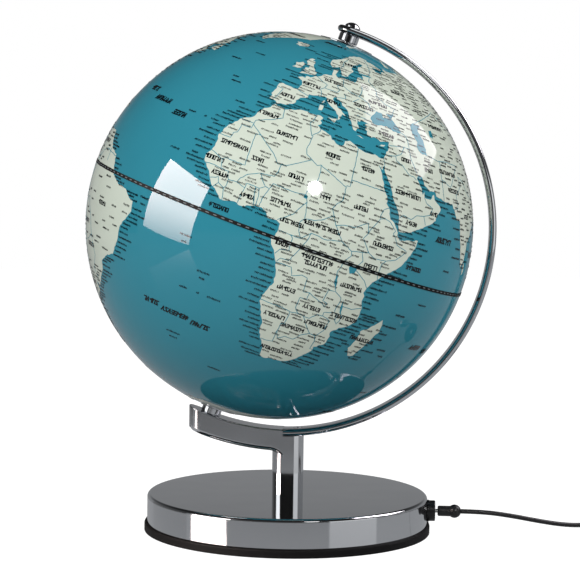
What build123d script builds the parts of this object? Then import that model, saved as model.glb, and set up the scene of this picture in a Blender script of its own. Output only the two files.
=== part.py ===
from build123d import *

import os
from math import acos, atan2, cos, degrees, pi, radians, sin, sqrt, tan

# Lit desktop globe: a printed ball turns on a tilted axis between a flat meridian band and a
# short arm, on a round weighted base. Millimetres, +Z up. The origin is the middle of the
# footprint on the table. Band and arm lie in the XZ plane, the north pole leans towards +X,
# and the lead leaves the base along +X.

# Ball
GLOBE_D = 250.0  # outside of the printed ball
SHELL_WALL = 2.0
AXIS_TILT = 19.5  # degrees from upright
GLOBE_OFFSET = 7.5  # ball's centre from the post's middle, towards -X
TAPE_WIDTH = 2.2  # chequered tape over the seam
TAPE_THICK = 0.25
JOIN_RING_HEIGHT = 12.0
JOIN_RING_THICK = 1.6
CAP_THICK = 0.5
NORTH_CAP_D = 35.0
SOUTH_CAP_D = 41.0
GLUE_FILM = 0.05  # under every bonded skin

# Pivots
NORTH_GAP = 6.1  # ball to band along the axis
SOUTH_GAP = 5.5  # ball to arm along the axis
FERRULE_D = 13.0
FERRULE_EDGE = 0.5
PIVOT_D = 5.0
PIVOT_REACH = 22.0  # pin below the ball's skin
PIVOT_HEAD_D = 10.0
PIVOT_HEAD_HEIGHT = 3.6
PIVOT_HEAD_RIM = 1.0
AXLE_D = 10.0
AXLE_BORE = 6.4
AXLE_SEAT = 6.0  # depth in the arm
AXLE_REACH = 53.0  # above the south skin
BUSH_WALL = 3.0
BUSH_FLANGE = 4.0  # beyond the neck
BUSH_FLANGE_THICK = 2.5
BUSH_SLEEVE = 10.0  # below the flange
RUN_CLEAR = 0.05  # radial, shaft in bush
END_CLEAR = 0.3  # along the axis, ball to ferrule
CAP_CLEAR = 0.6  # radial, shaft in pole cap
FIT_CLEAR = 0.05  # between fixed pieces

# Lamp inside the ball
HOLDER_D = 26.0
HOLDER_FOOT_D = 18.0
HOLDER_SLEEVE = 10.0
HOLDER_WEB = 3.0
HOLDER_CUP = 8.0
LAMP_BASE_D = 16.0
LAMP_D = 34.0
LAMP_HEIGHT = 48.0

# Meridian band
BAND_WIDTH = 18.0
BAND_THICK = 4.4
BAND_EDGE = 1.2
BAND_FLAT = 5.0  # flat seat beyond the axis
BAND_TENON = 3.0  # foot past the post's middle
TIP_MARGIN = 0.02  # keeps the full-round end tangent

# Arm and post
POST_WIDTH = 20.5
POST_HEIGHT = 42.8  # base top to arm top at the post's middle
POST_CORNER = 6.5
ARM_DEPTH = 18.0
ARM_THICK = 14.5
ARM_OVERHANG = 14.0  # axle's seat to the arm's tip
ARM_TIP_R = 5.0
ARM_CROOK_WIDTH = 8.2  # arm's underside curls down to the post's flat front
ARM_CROOK_DROP = 4.9
ARM_EDGE = 1.0
LEAD_WAY_D = 6.0  # cast passage for the inner lead
LEAD_WAY_DROP = 11.0  # passage's bend below the arm's top
SPOT_CLEAR = 0.4  # round the ferrule's spot face

# Base
BASE_D = 183.0
BASE_HEIGHT = 23.7
COVER_WALL = 1.2
COVER_EDGE = 1.5
FOOT_PROUD = 1.8  # beyond the cover
FOOT_HEIGHT = 5.5
FOOT_EDGE = 1.6
FOOT_WIDTH = 9.3
FOOT_LIP = 1.5  # upstand inside the cover
FOOT_LIP_THICK = 4.0
FOOT_LEDGE = 4.0  # shelf under the bottom plate
FOOT_LEDGE_THICK = 2.0
PLATE_THICK = 2.5
PLATE_CLEAR = 0.1
WEIGHT_ROOM = 28.3  # round the weight, for socket and lead
WEIGHT_THICK = 12.0
WEIGHT_BORE = 8.0
BOSS_D = 10.0
BOSS_INSET = 14.0  # boss's middle from the weight's rim
BOSS_COUNT = 4
BOSS_TURN = 45.0

# Fasteners
POST_SCREW_D = 4.0
POST_SCREW_GRIP = 12.0  # in the post
POST_SCREW_SPACING = 13.6
POST_SCREW_HEAD_D = 7.2
POST_SCREW_HEAD = 4.0
POST_SCREW_SINK = 5.0  # counterbore in the weight
POST_SCREW_SINK_D = 8.0
PLATE_SCREW_D = 3.0
PLATE_SCREW_LENGTH = 10.0
PLATE_SCREW_HEAD_D = 6.0
BAND_SCREW_D = 3.0
BAND_SCREW_LENGTH = 12.0
BAND_SCREW_HEAD_D = 6.0
BAND_SCREW_X = 6.2
SLOT_WIDTH = 0.8
SLOT_DEPTH = 0.9
HEX_SOCKET = 3.0

# Socket and plug
SOCKET_Z = 14.0
SOCKET_NOSE_D = 13.5
SOCKET_NOSE = 5.2
SOCKET_NOSE_EDGE = 0.8
SOCKET_COLLAR = 1.2  # slightly wider ring against the cover
SOCKET_COLLAR_D = 14.1
SOCKET_BODY_D = 8.0
SOCKET_BODY = 12.0  # behind the cover's face
SOCKET_NUT_ACROSS = 11.0
SOCKET_NUT = 3.0
SOCKET_NUT_BACK = 0.6  # clear of the cover's curve
SOCKET_BORE_CLEAR = 0.1
BARREL_D = 2.4
BARREL_BORE = 0.9
BARREL_LENGTH = 12.0
BARREL_SHOWN = 1.6
BARREL_ROOT = 3.0
PLUG_D = 6.8
PLUG_LENGTH = 15.3
PLUG_BALL_D = 8.7
PLUG_EDGE = 0.6
PLUG_LIP = 0.3  # round the lead's exit

# Lead
LEAD_D = 3.0
LEAD_ROUTE = [  # from the plug's end: along +X, aside in +Y, share of the fall still to go
    (14.6, 0.0, 1.0),
    (32.6, 3.6, 0.784),
    (51.6, 10.0, 0.432),
    (68.6, 18.5, 0.128),
    (83.6, 26.5, 0.008),
]
LEAD_LANDING = [(93.1, 36.5), (96.6, 49.0)]  # last run, level with the coil
LEAD_BEND_SHARE = 0.45
LEAD_GAP = 0.5  # between neighbouring turns
COIL_MID_D = 36.0
COIL_HALF_TURNS = 12  # inwards on the lower layer
INNER_LEAD_D = 2.0
INNER_LEAD_BEND = 6.0
INNER_LEAD_NEAR_BEND = 3.0  # at the foot of the axle
INNER_LEAD_UNDER = 3.0  # below the weight
INNER_LEAD_ROOM = 2.0  # beside the weight
TIE_WIDTH = 8.0
TIE_THICK = 0.5
TIE_CLEAR = 0.05
TIE_CORNER = 1.5
USB_WIDTH = 16.0
USB_LENGTH = 22.0
USB_EDGE = 1.6
USB_RELIEF = 8.0
USB_RELIEF_D = 4.6
USB_RELIEF_FLARE = 1.0
USB_SHELL_WIDTH = 12.0
USB_SHELL_THICK = 4.5
USB_SHELL_WALL = 0.4
USB_SHELL_SHOWN = 11.8
USB_SHELL_ROOT = 5.0
USB_TONGUE = 1.8

# Places worked out from the sizes above
tilt = radians(AXIS_TILT)
globe_r = GLOBE_D / 2
cavity_r = globe_r - SHELL_WALL
arm_top_z = BASE_HEIGHT + POST_HEIGHT
axis_over_post = GLOBE_OFFSET / sin(tilt)
globe_z = arm_top_z + globe_r + SOUTH_GAP + axis_over_post * (1 - cos(tilt))
globe_centre = Vector(-GLOBE_OFFSET, 0, globe_z)
north = Vector(sin(tilt), 0, cos(tilt))
outward = Vector(cos(tilt), 0, -sin(tilt))
section = Plane(origin=globe_centre, x_dir=outward, z_dir=(0, -1, 0))
spin_axis = Axis(globe_centre, north)
arm_centre_z = globe_z + axis_over_post * cos(tilt)
arm_top_r = globe_r + SOUTH_GAP + axis_over_post
arm_low_r = arm_top_r + ARM_THICK
cap_top = globe_r + GLUE_FILM + CAP_THICK
north_seat = globe_r + NORTH_GAP
south_seat = globe_r + SOUTH_GAP
axle_top = globe_r - AXLE_REACH
axle_foot = south_seat + AXLE_SEAT

UPWARD = (Align.CENTER, Align.CENTER, Align.MIN)
DOWNWARD = (Align.CENTER, Align.CENTER, Align.MAX)

os.makedirs("parts", exist_ok=True)


def on_axis(height):
    """Point on the ball's axis, counted from its centre towards the north pole."""
    return globe_centre + north * height


def dome(radius, r, side):
    """Point of a sphere about the ball's centre, as (radius from the axis, height)."""
    return (r, side * sqrt(radius**2 - r**2))


def outline(plane, *points):
    """Closed flat profile through points of a plane."""
    with BuildSketch(plane) as flat:
        with BuildLine():
            Polyline(*points, close=True)
        make_face()
    return flat.sketch


def finish(piece, name):
    """Name a finished piece and write it."""
    piece.part.label = name
    export_step(piece.part, f"parts/{name}.step")


# Ball shells, joined over an inner ring and covered at the seam by a tape
def shell_half(side, hole_r):
    """Half section of one shell, from the equator to its pole hole."""
    with BuildSketch(section) as flat:
        with BuildLine():
            skin_lat = acos(hole_r / globe_r) / 2
            core_lat = acos(hole_r / cavity_r) / 2
            skin_mid = (globe_r * cos(skin_lat), side * globe_r * sin(skin_lat))
            core_mid = (cavity_r * cos(core_lat), side * cavity_r * sin(core_lat))
            skin = ThreePointArc((globe_r, 0), skin_mid, dome(globe_r, hole_r, side))
            core = ThreePointArc((cavity_r, 0), core_mid, dome(cavity_r, hole_r, side))
            Line(skin @ 0, core @ 0)
            Line(skin @ 1, core @ 1)
        make_face()
    return flat.sketch


def cap_half(side, hole_r, cap_r):
    """Half section of a thin disc that lies on the ball round a pole."""
    low = globe_r + GLUE_FILM
    high = low + CAP_THICK
    middle = (hole_r + cap_r) / 2
    with BuildSketch(section) as flat:
        with BuildLine():
            under = ThreePointArc(*[dome(low, r, side) for r in (hole_r, middle, cap_r)])
            over = ThreePointArc(*[dome(high, r, side) for r in (hole_r, middle, cap_r)])
            Line(under @ 0, over @ 0)
            Line(under @ 1, over @ 1)
        make_face()
    return flat.sketch


def bush_half(side, bore_r):
    """Half section of a flanged bush, with its neck in the shell's pole hole."""
    neck_r = bore_r + BUSH_WALL
    flange_r = neck_r + BUSH_FLANGE
    seat = dome(cavity_r, flange_r, 1)[1] - GLUE_FILM
    top = dome(globe_r, neck_r + FIT_CLEAR, 1)[1] - GLUE_FILM
    low = seat - BUSH_FLANGE_THICK - BUSH_SLEEVE
    heights = [
        (bore_r, low),
        (neck_r, low),
        (neck_r, seat - BUSH_FLANGE_THICK),
        (flange_r, seat - BUSH_FLANGE_THICK),
        (flange_r, seat),
        (neck_r, seat),
        (neck_r, top),
        (bore_r, top),
    ]
    return outline(section, *[(r, side * h) for r, h in heights])


pivot_bush_r = PIVOT_D / 2 + RUN_CLEAR
axle_bush_r = AXLE_D / 2 + RUN_CLEAR

with BuildPart() as north_hemisphere:
    revolve(shell_half(1, pivot_bush_r + BUSH_WALL + FIT_CLEAR), axis=spin_axis)
finish(north_hemisphere, "north_hemisphere")

with BuildPart() as south_hemisphere:
    revolve(shell_half(-1, axle_bush_r + BUSH_WALL + FIT_CLEAR), axis=spin_axis)
finish(south_hemisphere, "south_hemisphere")

with BuildPart() as join_ring:
    ring_outer = cavity_r - GLUE_FILM
    ring_inner = ring_outer - JOIN_RING_THICK
    half_height = JOIN_RING_HEIGHT / 2
    with BuildSketch(section):
        with BuildLine():
            ring_top = sqrt(ring_outer**2 - half_height**2)
            crown = ThreePointArc((ring_top, -half_height), (ring_outer, 0), (ring_top, half_height))
            Polyline(crown @ 0, (ring_inner, -half_height), (ring_inner, half_height), crown @ 1)
        make_face()
    revolve(axis=spin_axis)
finish(join_ring, "join_ring")

with BuildPart() as equator_band:
    tape_low = globe_r + GLUE_FILM
    tape_high = tape_low + TAPE_THICK
    tape_half = TAPE_WIDTH / 2
    tape = outline(
        section,
        (tape_low, -tape_half),
        (tape_high, -tape_half),
        (tape_high, tape_half),
        (tape_low, tape_half),
    )
    revolve(tape, axis=spin_axis)
finish(equator_band, "equator_band")

with BuildPart() as north_pole_cap:
    revolve(cap_half(1, PIVOT_D / 2 + CAP_CLEAR, NORTH_CAP_D / 2), axis=spin_axis)
finish(north_pole_cap, "north_pole_cap")

with BuildPart() as south_pole_cap:
    revolve(cap_half(-1, AXLE_D / 2 + CAP_CLEAR, SOUTH_CAP_D / 2), axis=spin_axis)
finish(south_pole_cap, "south_pole_cap")

with BuildPart() as north_bush:
    revolve(bush_half(1, pivot_bush_r), axis=spin_axis)
finish(north_bush, "north_bush")

with BuildPart() as south_bush:
    revolve(bush_half(-1, axle_bush_r), axis=spin_axis)
finish(south_bush, "south_bush")


# Pivots, fixed to the band at the north end and to the arm at the south end
def ferrule_half(side, bore_r, near, far):
    """Half section of a sleeve with broken outer edges, between two heights."""
    rim = FERRULE_D / 2
    heights = [
        (bore_r, near),
        (rim - FERRULE_EDGE, near),
        (rim, near + FERRULE_EDGE),
        (rim, far - FERRULE_EDGE),
        (rim - FERRULE_EDGE, far),
        (bore_r, far),
    ]
    return outline(section, *[(r, side * h) for r, h in heights])


with BuildPart() as north_ferrule:
    north_sleeve = ferrule_half(1, pivot_bush_r, cap_top + END_CLEAR, north_seat - FIT_CLEAR)
    revolve(north_sleeve, axis=spin_axis)
finish(north_ferrule, "north_ferrule")

with BuildPart() as south_ferrule:
    south_sleeve = ferrule_half(-1, axle_bush_r, cap_top + END_CLEAR, south_seat)
    revolve(south_sleeve, axis=spin_axis)
finish(south_ferrule, "south_ferrule")

with BuildPart() as north_pivot:
    head_low = north_seat + BAND_THICK
    head_top = head_low + PIVOT_HEAD_HEIGHT
    head_r = PIVOT_HEAD_D / 2
    pin_r = PIVOT_D / 2
    dome_rise = PIVOT_HEAD_HEIGHT - PIVOT_HEAD_RIM
    dome_r = (head_r**2 + dome_rise**2) / (2 * dome_rise)
    shoulder = head_r / 2
    shoulder_height = head_top - dome_r + sqrt(dome_r**2 - shoulder**2)
    with BuildSketch(section):
        with BuildLine():
            crown = ThreePointArc(
                (head_r, head_low + PIVOT_HEAD_RIM), (shoulder, shoulder_height), (0, head_top)
            )
            Polyline(
                crown @ 1,
                (0, globe_r - PIVOT_REACH),
                (pin_r, globe_r - PIVOT_REACH),
                (pin_r, head_low),
                (head_r, head_low),
                crown @ 0,
            )
        make_face()
    revolve(axis=spin_axis)
finish(north_pivot, "north_pivot")

with BuildPart() as south_axle:
    tube = outline(
        section,
        (AXLE_BORE / 2, -axle_foot),
        (AXLE_D / 2, -axle_foot),
        (AXLE_D / 2, -axle_top),
        (AXLE_BORE / 2, -axle_top),
    )
    revolve(tube, axis=spin_axis)
finish(south_axle, "south_axle")

# Lamp on the top of the axle
holder_foot = -axle_top - HOLDER_SLEEVE
web_top = -axle_top + HOLDER_WEB
cup_top = web_top + HOLDER_CUP
with BuildPart() as lamp_holder:
    cup = outline(
        section,
        (AXLE_D / 2 + FIT_CLEAR, holder_foot),
        (HOLDER_FOOT_D / 2, holder_foot),
        (HOLDER_D / 2, -axle_top),
        (HOLDER_D / 2, cup_top),
        (LAMP_BASE_D / 2 + FIT_CLEAR, cup_top),
        (LAMP_BASE_D / 2 + FIT_CLEAR, web_top),
        (AXLE_BORE / 2, web_top),
        (AXLE_BORE / 2, -axle_top),
        (AXLE_D / 2 + FIT_CLEAR, -axle_top),
    )
    revolve(cup, axis=spin_axis)
finish(lamp_holder, "lamp_holder")

with BuildPart() as led_lamp:
    with BuildSketch(section):
        with BuildLine():
            lamp_top = web_top + LAMP_HEIGHT
            bulb_height = lamp_top - LAMP_D / 2
            neck_top = bulb_height - sqrt((LAMP_D / 2) ** 2 - (LAMP_BASE_D / 2) ** 2)
            bulb = ThreePointArc(
                (LAMP_BASE_D / 2, neck_top), (LAMP_D / 2, bulb_height), (0, lamp_top)
            )
            Polyline(bulb @ 1, (0, web_top), (LAMP_BASE_D / 2, web_top), bulb @ 0)
        make_face()
    revolve(axis=spin_axis)
finish(led_lamp, "led_lamp")

# Meridian band: a flat seat at the north pole, then one arc down to the post
band_seat = on_axis(north_seat)
band_bend = band_seat + outward * BAND_FLAT
band_foot = Vector(0, 0, arm_top_z)
band_chord = band_bend - band_foot
band_r = band_chord.dot(band_chord) / (2 * band_chord.dot(north))
band_centre = band_bend - north * band_r
band_middle = (band_centre.X, band_centre.Z)
band_first = 90 - AXIS_TILT
band_over_post = degrees(atan2(band_foot.Z - band_centre.Z, band_foot.X - band_centre.X))
band_last = band_over_post - degrees(BAND_TENON / band_r)
band_outer_r = band_r + BAND_THICK
band_screw_seat = band_centre.Z - sqrt(band_r**2 - (BAND_SCREW_X - band_centre.X) ** 2)
band_screw_r = BAND_SCREW_D / 2
band_screw_sink = (BAND_SCREW_HEAD_D - BAND_SCREW_D) / 2
plate_screw_r = PLATE_SCREW_D / 2
plate_screw_sink = (PLATE_SCREW_HEAD_D - PLATE_SCREW_D) / 2
post_screw_r = POST_SCREW_D / 2

with BuildPart() as meridian_band:
    with BuildSketch(Plane.XZ):
        with BuildLine():
            inner = CenterArc(band_middle, band_r, band_first, band_last - band_first)
            outer = CenterArc(band_middle, band_outer_r, band_first, band_last - band_first)
            tip = band_seat - outward * (BAND_WIDTH / 2)
            tip_over = tip + north * BAND_THICK
            Line(inner @ 1, outer @ 1)
            Polyline(inner @ 0, (tip.X, tip.Z), (tip_over.X, tip_over.Z), outer @ 0)
        make_face()
    extrude(amount=BAND_WIDTH / 2, both=True)
    tip_edges = meridian_band.edges().filter_by(spin_axis)
    fillet(tip_edges, BAND_WIDTH / 2 - TIP_MARGIN)
    sides = meridian_band.faces().filter_by(Axis.Y)
    fillet([edge for edge in sides.edges() if edge.length > 2 * BAND_THICK], BAND_EDGE)
    with Locations(Plane(origin=band_seat, z_dir=north)):
        Cylinder(PIVOT_D / 2 + FIT_CLEAR, 4 * BAND_THICK, mode=Mode.SUBTRACT)
    with Locations((BAND_SCREW_X, 0, band_screw_seat)):
        CounterSinkHole(band_screw_r + FIT_CLEAR, BAND_SCREW_HEAD_D / 2 + FIT_CLEAR, 2 * BAND_THICK)
finish(meridian_band, "meridian_band")


# Arm and post, one casting
def arm_z(radius, x):
    """Height of an arc about the arm's centre, which lies on the ball's axis over the post."""
    return arm_centre_z - sqrt(radius**2 - x**2)


way_bend = Vector(0, 0, arm_top_z - LEAD_WAY_DROP)
way_end = on_axis(-axle_foot - LEAD_WAY_D / 2)
way_length = (way_end - way_bend).length
arm_reach = ARM_OVERHANG - on_axis(-south_seat).X
post_half = POST_WIDTH / 2
post_flat = post_half - POST_CORNER
arm_span = arm_reach + post_half
arm_middle = post_half - arm_span / 2
crook_start = -post_flat - ARM_CROOK_WIDTH
crook_z = arm_z(arm_low_r, crook_start) - ARM_CROOK_DROP
with BuildPart() as arm_post:
    with BuildSketch(Plane.XZ) as arm_side:
        with BuildLine():
            top_arc = ThreePointArc(*[(x, arm_z(arm_top_r, x)) for x in (-arm_reach, arm_middle, post_half)])
            low_middle = (crook_start - arm_reach) / 2
            low_arc = ThreePointArc(*[(x, arm_z(arm_low_r, x)) for x in (-arm_reach, low_middle, crook_start)])
            crook = TangentArc(low_arc @ 1, (-post_flat, crook_z), tangent=low_arc % 1)
            Line(top_arc @ 0, low_arc @ 0)
            Polyline(crook @ 1, (post_half, crook_z), top_arc @ 1)
        make_face()
        fillet(arm_side.vertices().group_by(Axis.X)[0].sort_by(Axis.Y)[0], ARM_TIP_R)
    extrude(amount=ARM_DEPTH / 2, both=True)
    with BuildSketch(Plane.XY):
        with Locations((arm_middle, 0)):
            RectangleRounded(arm_span, ARM_DEPTH, POST_CORNER)
    extrude(amount=2 * arm_top_z, mode=Mode.INTERSECT)
    arm_top = arm_post.faces().filter_by(GeomType.CYLINDER).sort_by(SortBy.AREA)[-1]
    fillet(arm_top.edges(), ARM_EDGE)
    with BuildSketch(Plane.XY.offset(BASE_HEIGHT)):
        RectangleRounded(POST_WIDTH, ARM_DEPTH, POST_CORNER)
    extrude(amount=POST_HEIGHT - ARM_THICK / 2)
    tenon_end = band_centre.X + band_outer_r * cos(radians(band_last)) - FIT_CLEAR
    with BuildSketch(Plane.XZ):
        with Locations(band_middle):
            Circle(band_outer_r + FIT_CLEAR)
        with Locations((tenon_end, band_centre.Z)):
            Rectangle(4 * globe_r, 4 * globe_r, align=(Align.MIN, Align.CENTER), mode=Mode.INTERSECT)
    extrude(amount=ARM_DEPTH, both=True, mode=Mode.SUBTRACT)
    with Locations(Plane(origin=on_axis(-south_seat), z_dir=north)):
        Cylinder((FERRULE_D + SPOT_CLEAR) / 2, SOUTH_GAP, align=UPWARD, mode=Mode.SUBTRACT)
        Cylinder(AXLE_D / 2 + FIT_CLEAR, AXLE_SEAT, align=DOWNWARD, mode=Mode.SUBTRACT)
        Cylinder(LEAD_WAY_D / 2, AXLE_SEAT + LEAD_WAY_D / 2, align=DOWNWARD, mode=Mode.SUBTRACT)
    with Locations((0, 0, BASE_HEIGHT)):
        Cylinder(LEAD_WAY_D / 2, way_bend.Z - BASE_HEIGHT, align=UPWARD, mode=Mode.SUBTRACT)
    with Locations(way_bend, way_end):
        Sphere(LEAD_WAY_D / 2, mode=Mode.SUBTRACT)
    with Locations(Plane(origin=way_bend, z_dir=way_end - way_bend)):
        Cylinder(LEAD_WAY_D / 2, way_length, align=UPWARD, mode=Mode.SUBTRACT)
    with Locations((-POST_SCREW_SPACING / 2, 0, BASE_HEIGHT), (POST_SCREW_SPACING / 2, 0, BASE_HEIGHT)):
        Cylinder(post_screw_r + FIT_CLEAR, POST_SCREW_GRIP + FIT_CLEAR, align=UPWARD, mode=Mode.SUBTRACT)
    with Locations((BAND_SCREW_X, 0, band_screw_seat)):
        Cylinder(band_screw_r + FIT_CLEAR, BAND_SCREW_LENGTH + FIT_CLEAR, align=DOWNWARD, mode=Mode.SUBTRACT)
finish(arm_post, "arm_post")

with BuildPart() as band_screw:
    with Locations((BAND_SCREW_X, 0, band_screw_seat)):
        Cylinder(band_screw_r, BAND_SCREW_LENGTH, align=DOWNWARD)
        Cone(band_screw_r, BAND_SCREW_HEAD_D / 2, band_screw_sink, align=DOWNWARD)
        Box(SLOT_WIDTH, BAND_SCREW_HEAD_D, SLOT_DEPTH, align=DOWNWARD, mode=Mode.SUBTRACT)
finish(band_screw, "band_screw")

# Base: a pressed cover on a rubber foot, ballast inside, closed by a plate
cover_r = BASE_D / 2
cover_bore = cover_r - COVER_WALL
cover_under = BASE_HEIGHT - COVER_WALL
foot_r = cover_r + FOOT_PROUD
foot_bore = foot_r - FOOT_WIDTH
lip_r = cover_bore - FIT_CLEAR
lip_bore = lip_r - FOOT_LIP_THICK
plate_top = FOOT_LEDGE_THICK + PLATE_THICK
weight_low = cover_under - WEIGHT_THICK
weight_r = cover_bore - WEIGHT_ROOM
boss_circle_r = weight_r - BOSS_INSET
lead_hole_r = WEIGHT_BORE / 2
screw_spots = [(-POST_SCREW_SPACING / 2, 0), (POST_SCREW_SPACING / 2, 0)]

with BuildPart() as base_cover:
    with BuildSketch(Plane.XZ) as drum:
        with BuildLine():
            Polyline(
                (0, BASE_HEIGHT),
                (cover_r, BASE_HEIGHT),
                (cover_r, FOOT_HEIGHT),
                (cover_bore, FOOT_HEIGHT),
                (cover_bore, cover_under),
                (0, cover_under),
                close=True,
            )
        make_face()
        fillet(drum.vertices().group_by(Axis.X)[-1].sort_by(Axis.Y)[-1], COVER_EDGE)
    revolve(axis=Axis.Z)
    with BuildSketch(Plane.XY):
        Circle(lead_hole_r)
        with Locations(*screw_spots):
            Circle(post_screw_r + FIT_CLEAR)
    extrude(amount=2 * BASE_HEIGHT, mode=Mode.SUBTRACT)
    with BuildSketch(Plane.YZ):
        with Locations((0, SOCKET_Z)):
            Circle(SOCKET_BODY_D / 2 + FIT_CLEAR)
    extrude(amount=BASE_D, mode=Mode.SUBTRACT)
finish(base_cover, "base_cover")

with BuildPart() as foot_ring:
    with BuildSketch(Plane.XZ) as tread:
        with BuildLine():
            Polyline(
                (foot_bore - FOOT_LEDGE, 0),
                (foot_r, 0),
                (foot_r, FOOT_HEIGHT),
                (lip_r, FOOT_HEIGHT),
                (lip_r, FOOT_HEIGHT + FOOT_LIP),
                (lip_bore, FOOT_HEIGHT + FOOT_LIP),
                (lip_bore, FOOT_HEIGHT),
                (foot_bore, FOOT_HEIGHT),
                (foot_bore, FOOT_LEDGE_THICK),
                (foot_bore - FOOT_LEDGE, FOOT_LEDGE_THICK),
                close=True,
            )
        make_face()
        fillet(tread.vertices().group_by(Axis.X)[-1].sort_by(Axis.Y)[-1], FOOT_EDGE)
    revolve(axis=Axis.Z)
finish(foot_ring, "foot_ring")

with BuildPart() as bottom_plate:
    with Locations((0, 0, FOOT_LEDGE_THICK)):
        Cylinder(foot_bore - PLATE_CLEAR, PLATE_THICK, align=UPWARD)
    with Locations(Plane(origin=(0, 0, FOOT_LEDGE_THICK), x_dir=(1, 0, 0), z_dir=(0, 0, -1))):
        with PolarLocations(boss_circle_r, BOSS_COUNT, start_angle=BOSS_TURN):
            CounterSinkHole(plate_screw_r + FIT_CLEAR, PLATE_SCREW_HEAD_D / 2 + FIT_CLEAR, 2 * PLATE_THICK)
finish(bottom_plate, "bottom_plate")

with BuildPart() as base_weight:
    with Locations((0, 0, cover_under)):
        Cylinder(weight_r, WEIGHT_THICK, align=DOWNWARD)
    with Locations((0, 0, plate_top)):
        with PolarLocations(boss_circle_r, BOSS_COUNT, start_angle=BOSS_TURN):
            Cylinder(BOSS_D / 2, weight_low - plate_top, align=UPWARD)
            Cylinder(
                plate_screw_r + FIT_CLEAR,
                PLATE_SCREW_LENGTH - PLATE_THICK + FIT_CLEAR,
                align=UPWARD,
                mode=Mode.SUBTRACT,
            )
    with Locations((0, 0, weight_low)):
        Cylinder(lead_hole_r, WEIGHT_THICK, align=UPWARD, mode=Mode.SUBTRACT)
        with Locations(*screw_spots):
            Cylinder(post_screw_r + FIT_CLEAR, WEIGHT_THICK, align=UPWARD, mode=Mode.SUBTRACT)
            Cylinder(POST_SCREW_SINK_D / 2, POST_SCREW_SINK, align=UPWARD, mode=Mode.SUBTRACT)
finish(base_weight, "base_weight")

with BuildPart() as post_screws:
    head_seat = weight_low + POST_SCREW_SINK
    with Locations((0, 0, head_seat)):
        with Locations(*screw_spots):
            Cylinder(post_screw_r, BASE_HEIGHT - head_seat + POST_SCREW_GRIP, align=UPWARD)
            Cylinder(POST_SCREW_HEAD_D / 2, POST_SCREW_HEAD, align=DOWNWARD)
    with Locations((0, 0, head_seat - POST_SCREW_HEAD)):
        with Locations(*screw_spots):
            with BuildSketch():
                RegularPolygon(HEX_SOCKET / 2, 6, major_radius=False)
    extrude(amount=POST_SCREW_HEAD / 2, mode=Mode.SUBTRACT)
finish(post_screws, "post_screws")

with BuildPart() as plate_screws:
    with Locations((0, 0, FOOT_LEDGE_THICK)):
        with PolarLocations(boss_circle_r, BOSS_COUNT, start_angle=BOSS_TURN):
            Cylinder(plate_screw_r, PLATE_SCREW_LENGTH, align=UPWARD)
            Cone(PLATE_SCREW_HEAD_D / 2, plate_screw_r, plate_screw_sink, align=UPWARD)
            Box(PLATE_SCREW_HEAD_D, SLOT_WIDTH, SLOT_DEPTH, align=UPWARD, mode=Mode.SUBTRACT)
finish(plate_screws, "plate_screws")

# Socket in the cover's side and the plug in it, both turned about one line along +X
socket_axis = Axis((0, 0, SOCKET_Z), (1, 0, 0))
socket_face = cover_r + FIT_CLEAR
socket_front = socket_face + SOCKET_NOSE
socket_rear = cover_r - SOCKET_BODY
plug_face = socket_front + BARREL_SHOWN
barrel_r = BARREL_D / 2
barrel_tip = plug_face - BARREL_LENGTH
socket_bore_r = barrel_r + SOCKET_BORE_CLEAR
ball_r = PLUG_BALL_D / 2
ball_x = plug_face + PLUG_LENGTH - ball_r
ball_start = ball_x - sqrt(ball_r**2 - (PLUG_D / 2) ** 2)
plug_exit_r = LEAD_D / 2 + PLUG_LIP
plug_end = ball_x + sqrt(ball_r**2 - plug_exit_r**2)


def beside(*points):
    """Points given as (distance along +X, radius) in the socket's half section."""
    return [(x, SOCKET_Z + r) for x, r in points]


with BuildPart() as dc_socket:
    with BuildSketch(Plane.XZ) as jack:
        with BuildLine():
            jack_points = beside(
                (socket_rear, 0),
                (socket_rear, SOCKET_BODY_D / 2),
                (socket_face, SOCKET_BODY_D / 2),
                (socket_face, SOCKET_COLLAR_D / 2),
                (socket_face + SOCKET_COLLAR, SOCKET_COLLAR_D / 2),
                (socket_face + SOCKET_COLLAR, SOCKET_NOSE_D / 2),
                (socket_front, SOCKET_NOSE_D / 2),
                (socket_front, socket_bore_r),
                (barrel_tip - SOCKET_BORE_CLEAR, socket_bore_r),
                (barrel_tip - SOCKET_BORE_CLEAR, 0),
            )
            Polyline(*jack_points, close=True)
        make_face()
        fillet(jack.vertices().group_by(Axis.X)[-1].sort_by(Axis.Y)[-1], SOCKET_NOSE_EDGE)
    revolve(axis=socket_axis)
finish(dc_socket, "dc_socket")

with BuildPart() as socket_nut:
    with BuildSketch(Plane(origin=(cover_bore - SOCKET_NUT_BACK, 0, SOCKET_Z), z_dir=(-1, 0, 0))):
        RegularPolygon(SOCKET_NUT_ACROSS / 2, 6, major_radius=False)
        Circle(SOCKET_BODY_D / 2 + FIT_CLEAR, mode=Mode.SUBTRACT)
    extrude(amount=SOCKET_NUT)
finish(socket_nut, "socket_nut")

with BuildPart() as plug_barrel:
    barrel = outline(
        Plane.XZ,
        *beside(
            (barrel_tip, BARREL_BORE / 2),
            (barrel_tip, barrel_r),
            (plug_face + BARREL_ROOT, barrel_r),
            (plug_face + BARREL_ROOT, BARREL_BORE / 2),
        ),
    )
    revolve(barrel, axis=socket_axis)
finish(plug_barrel, "plug_barrel")

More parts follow.
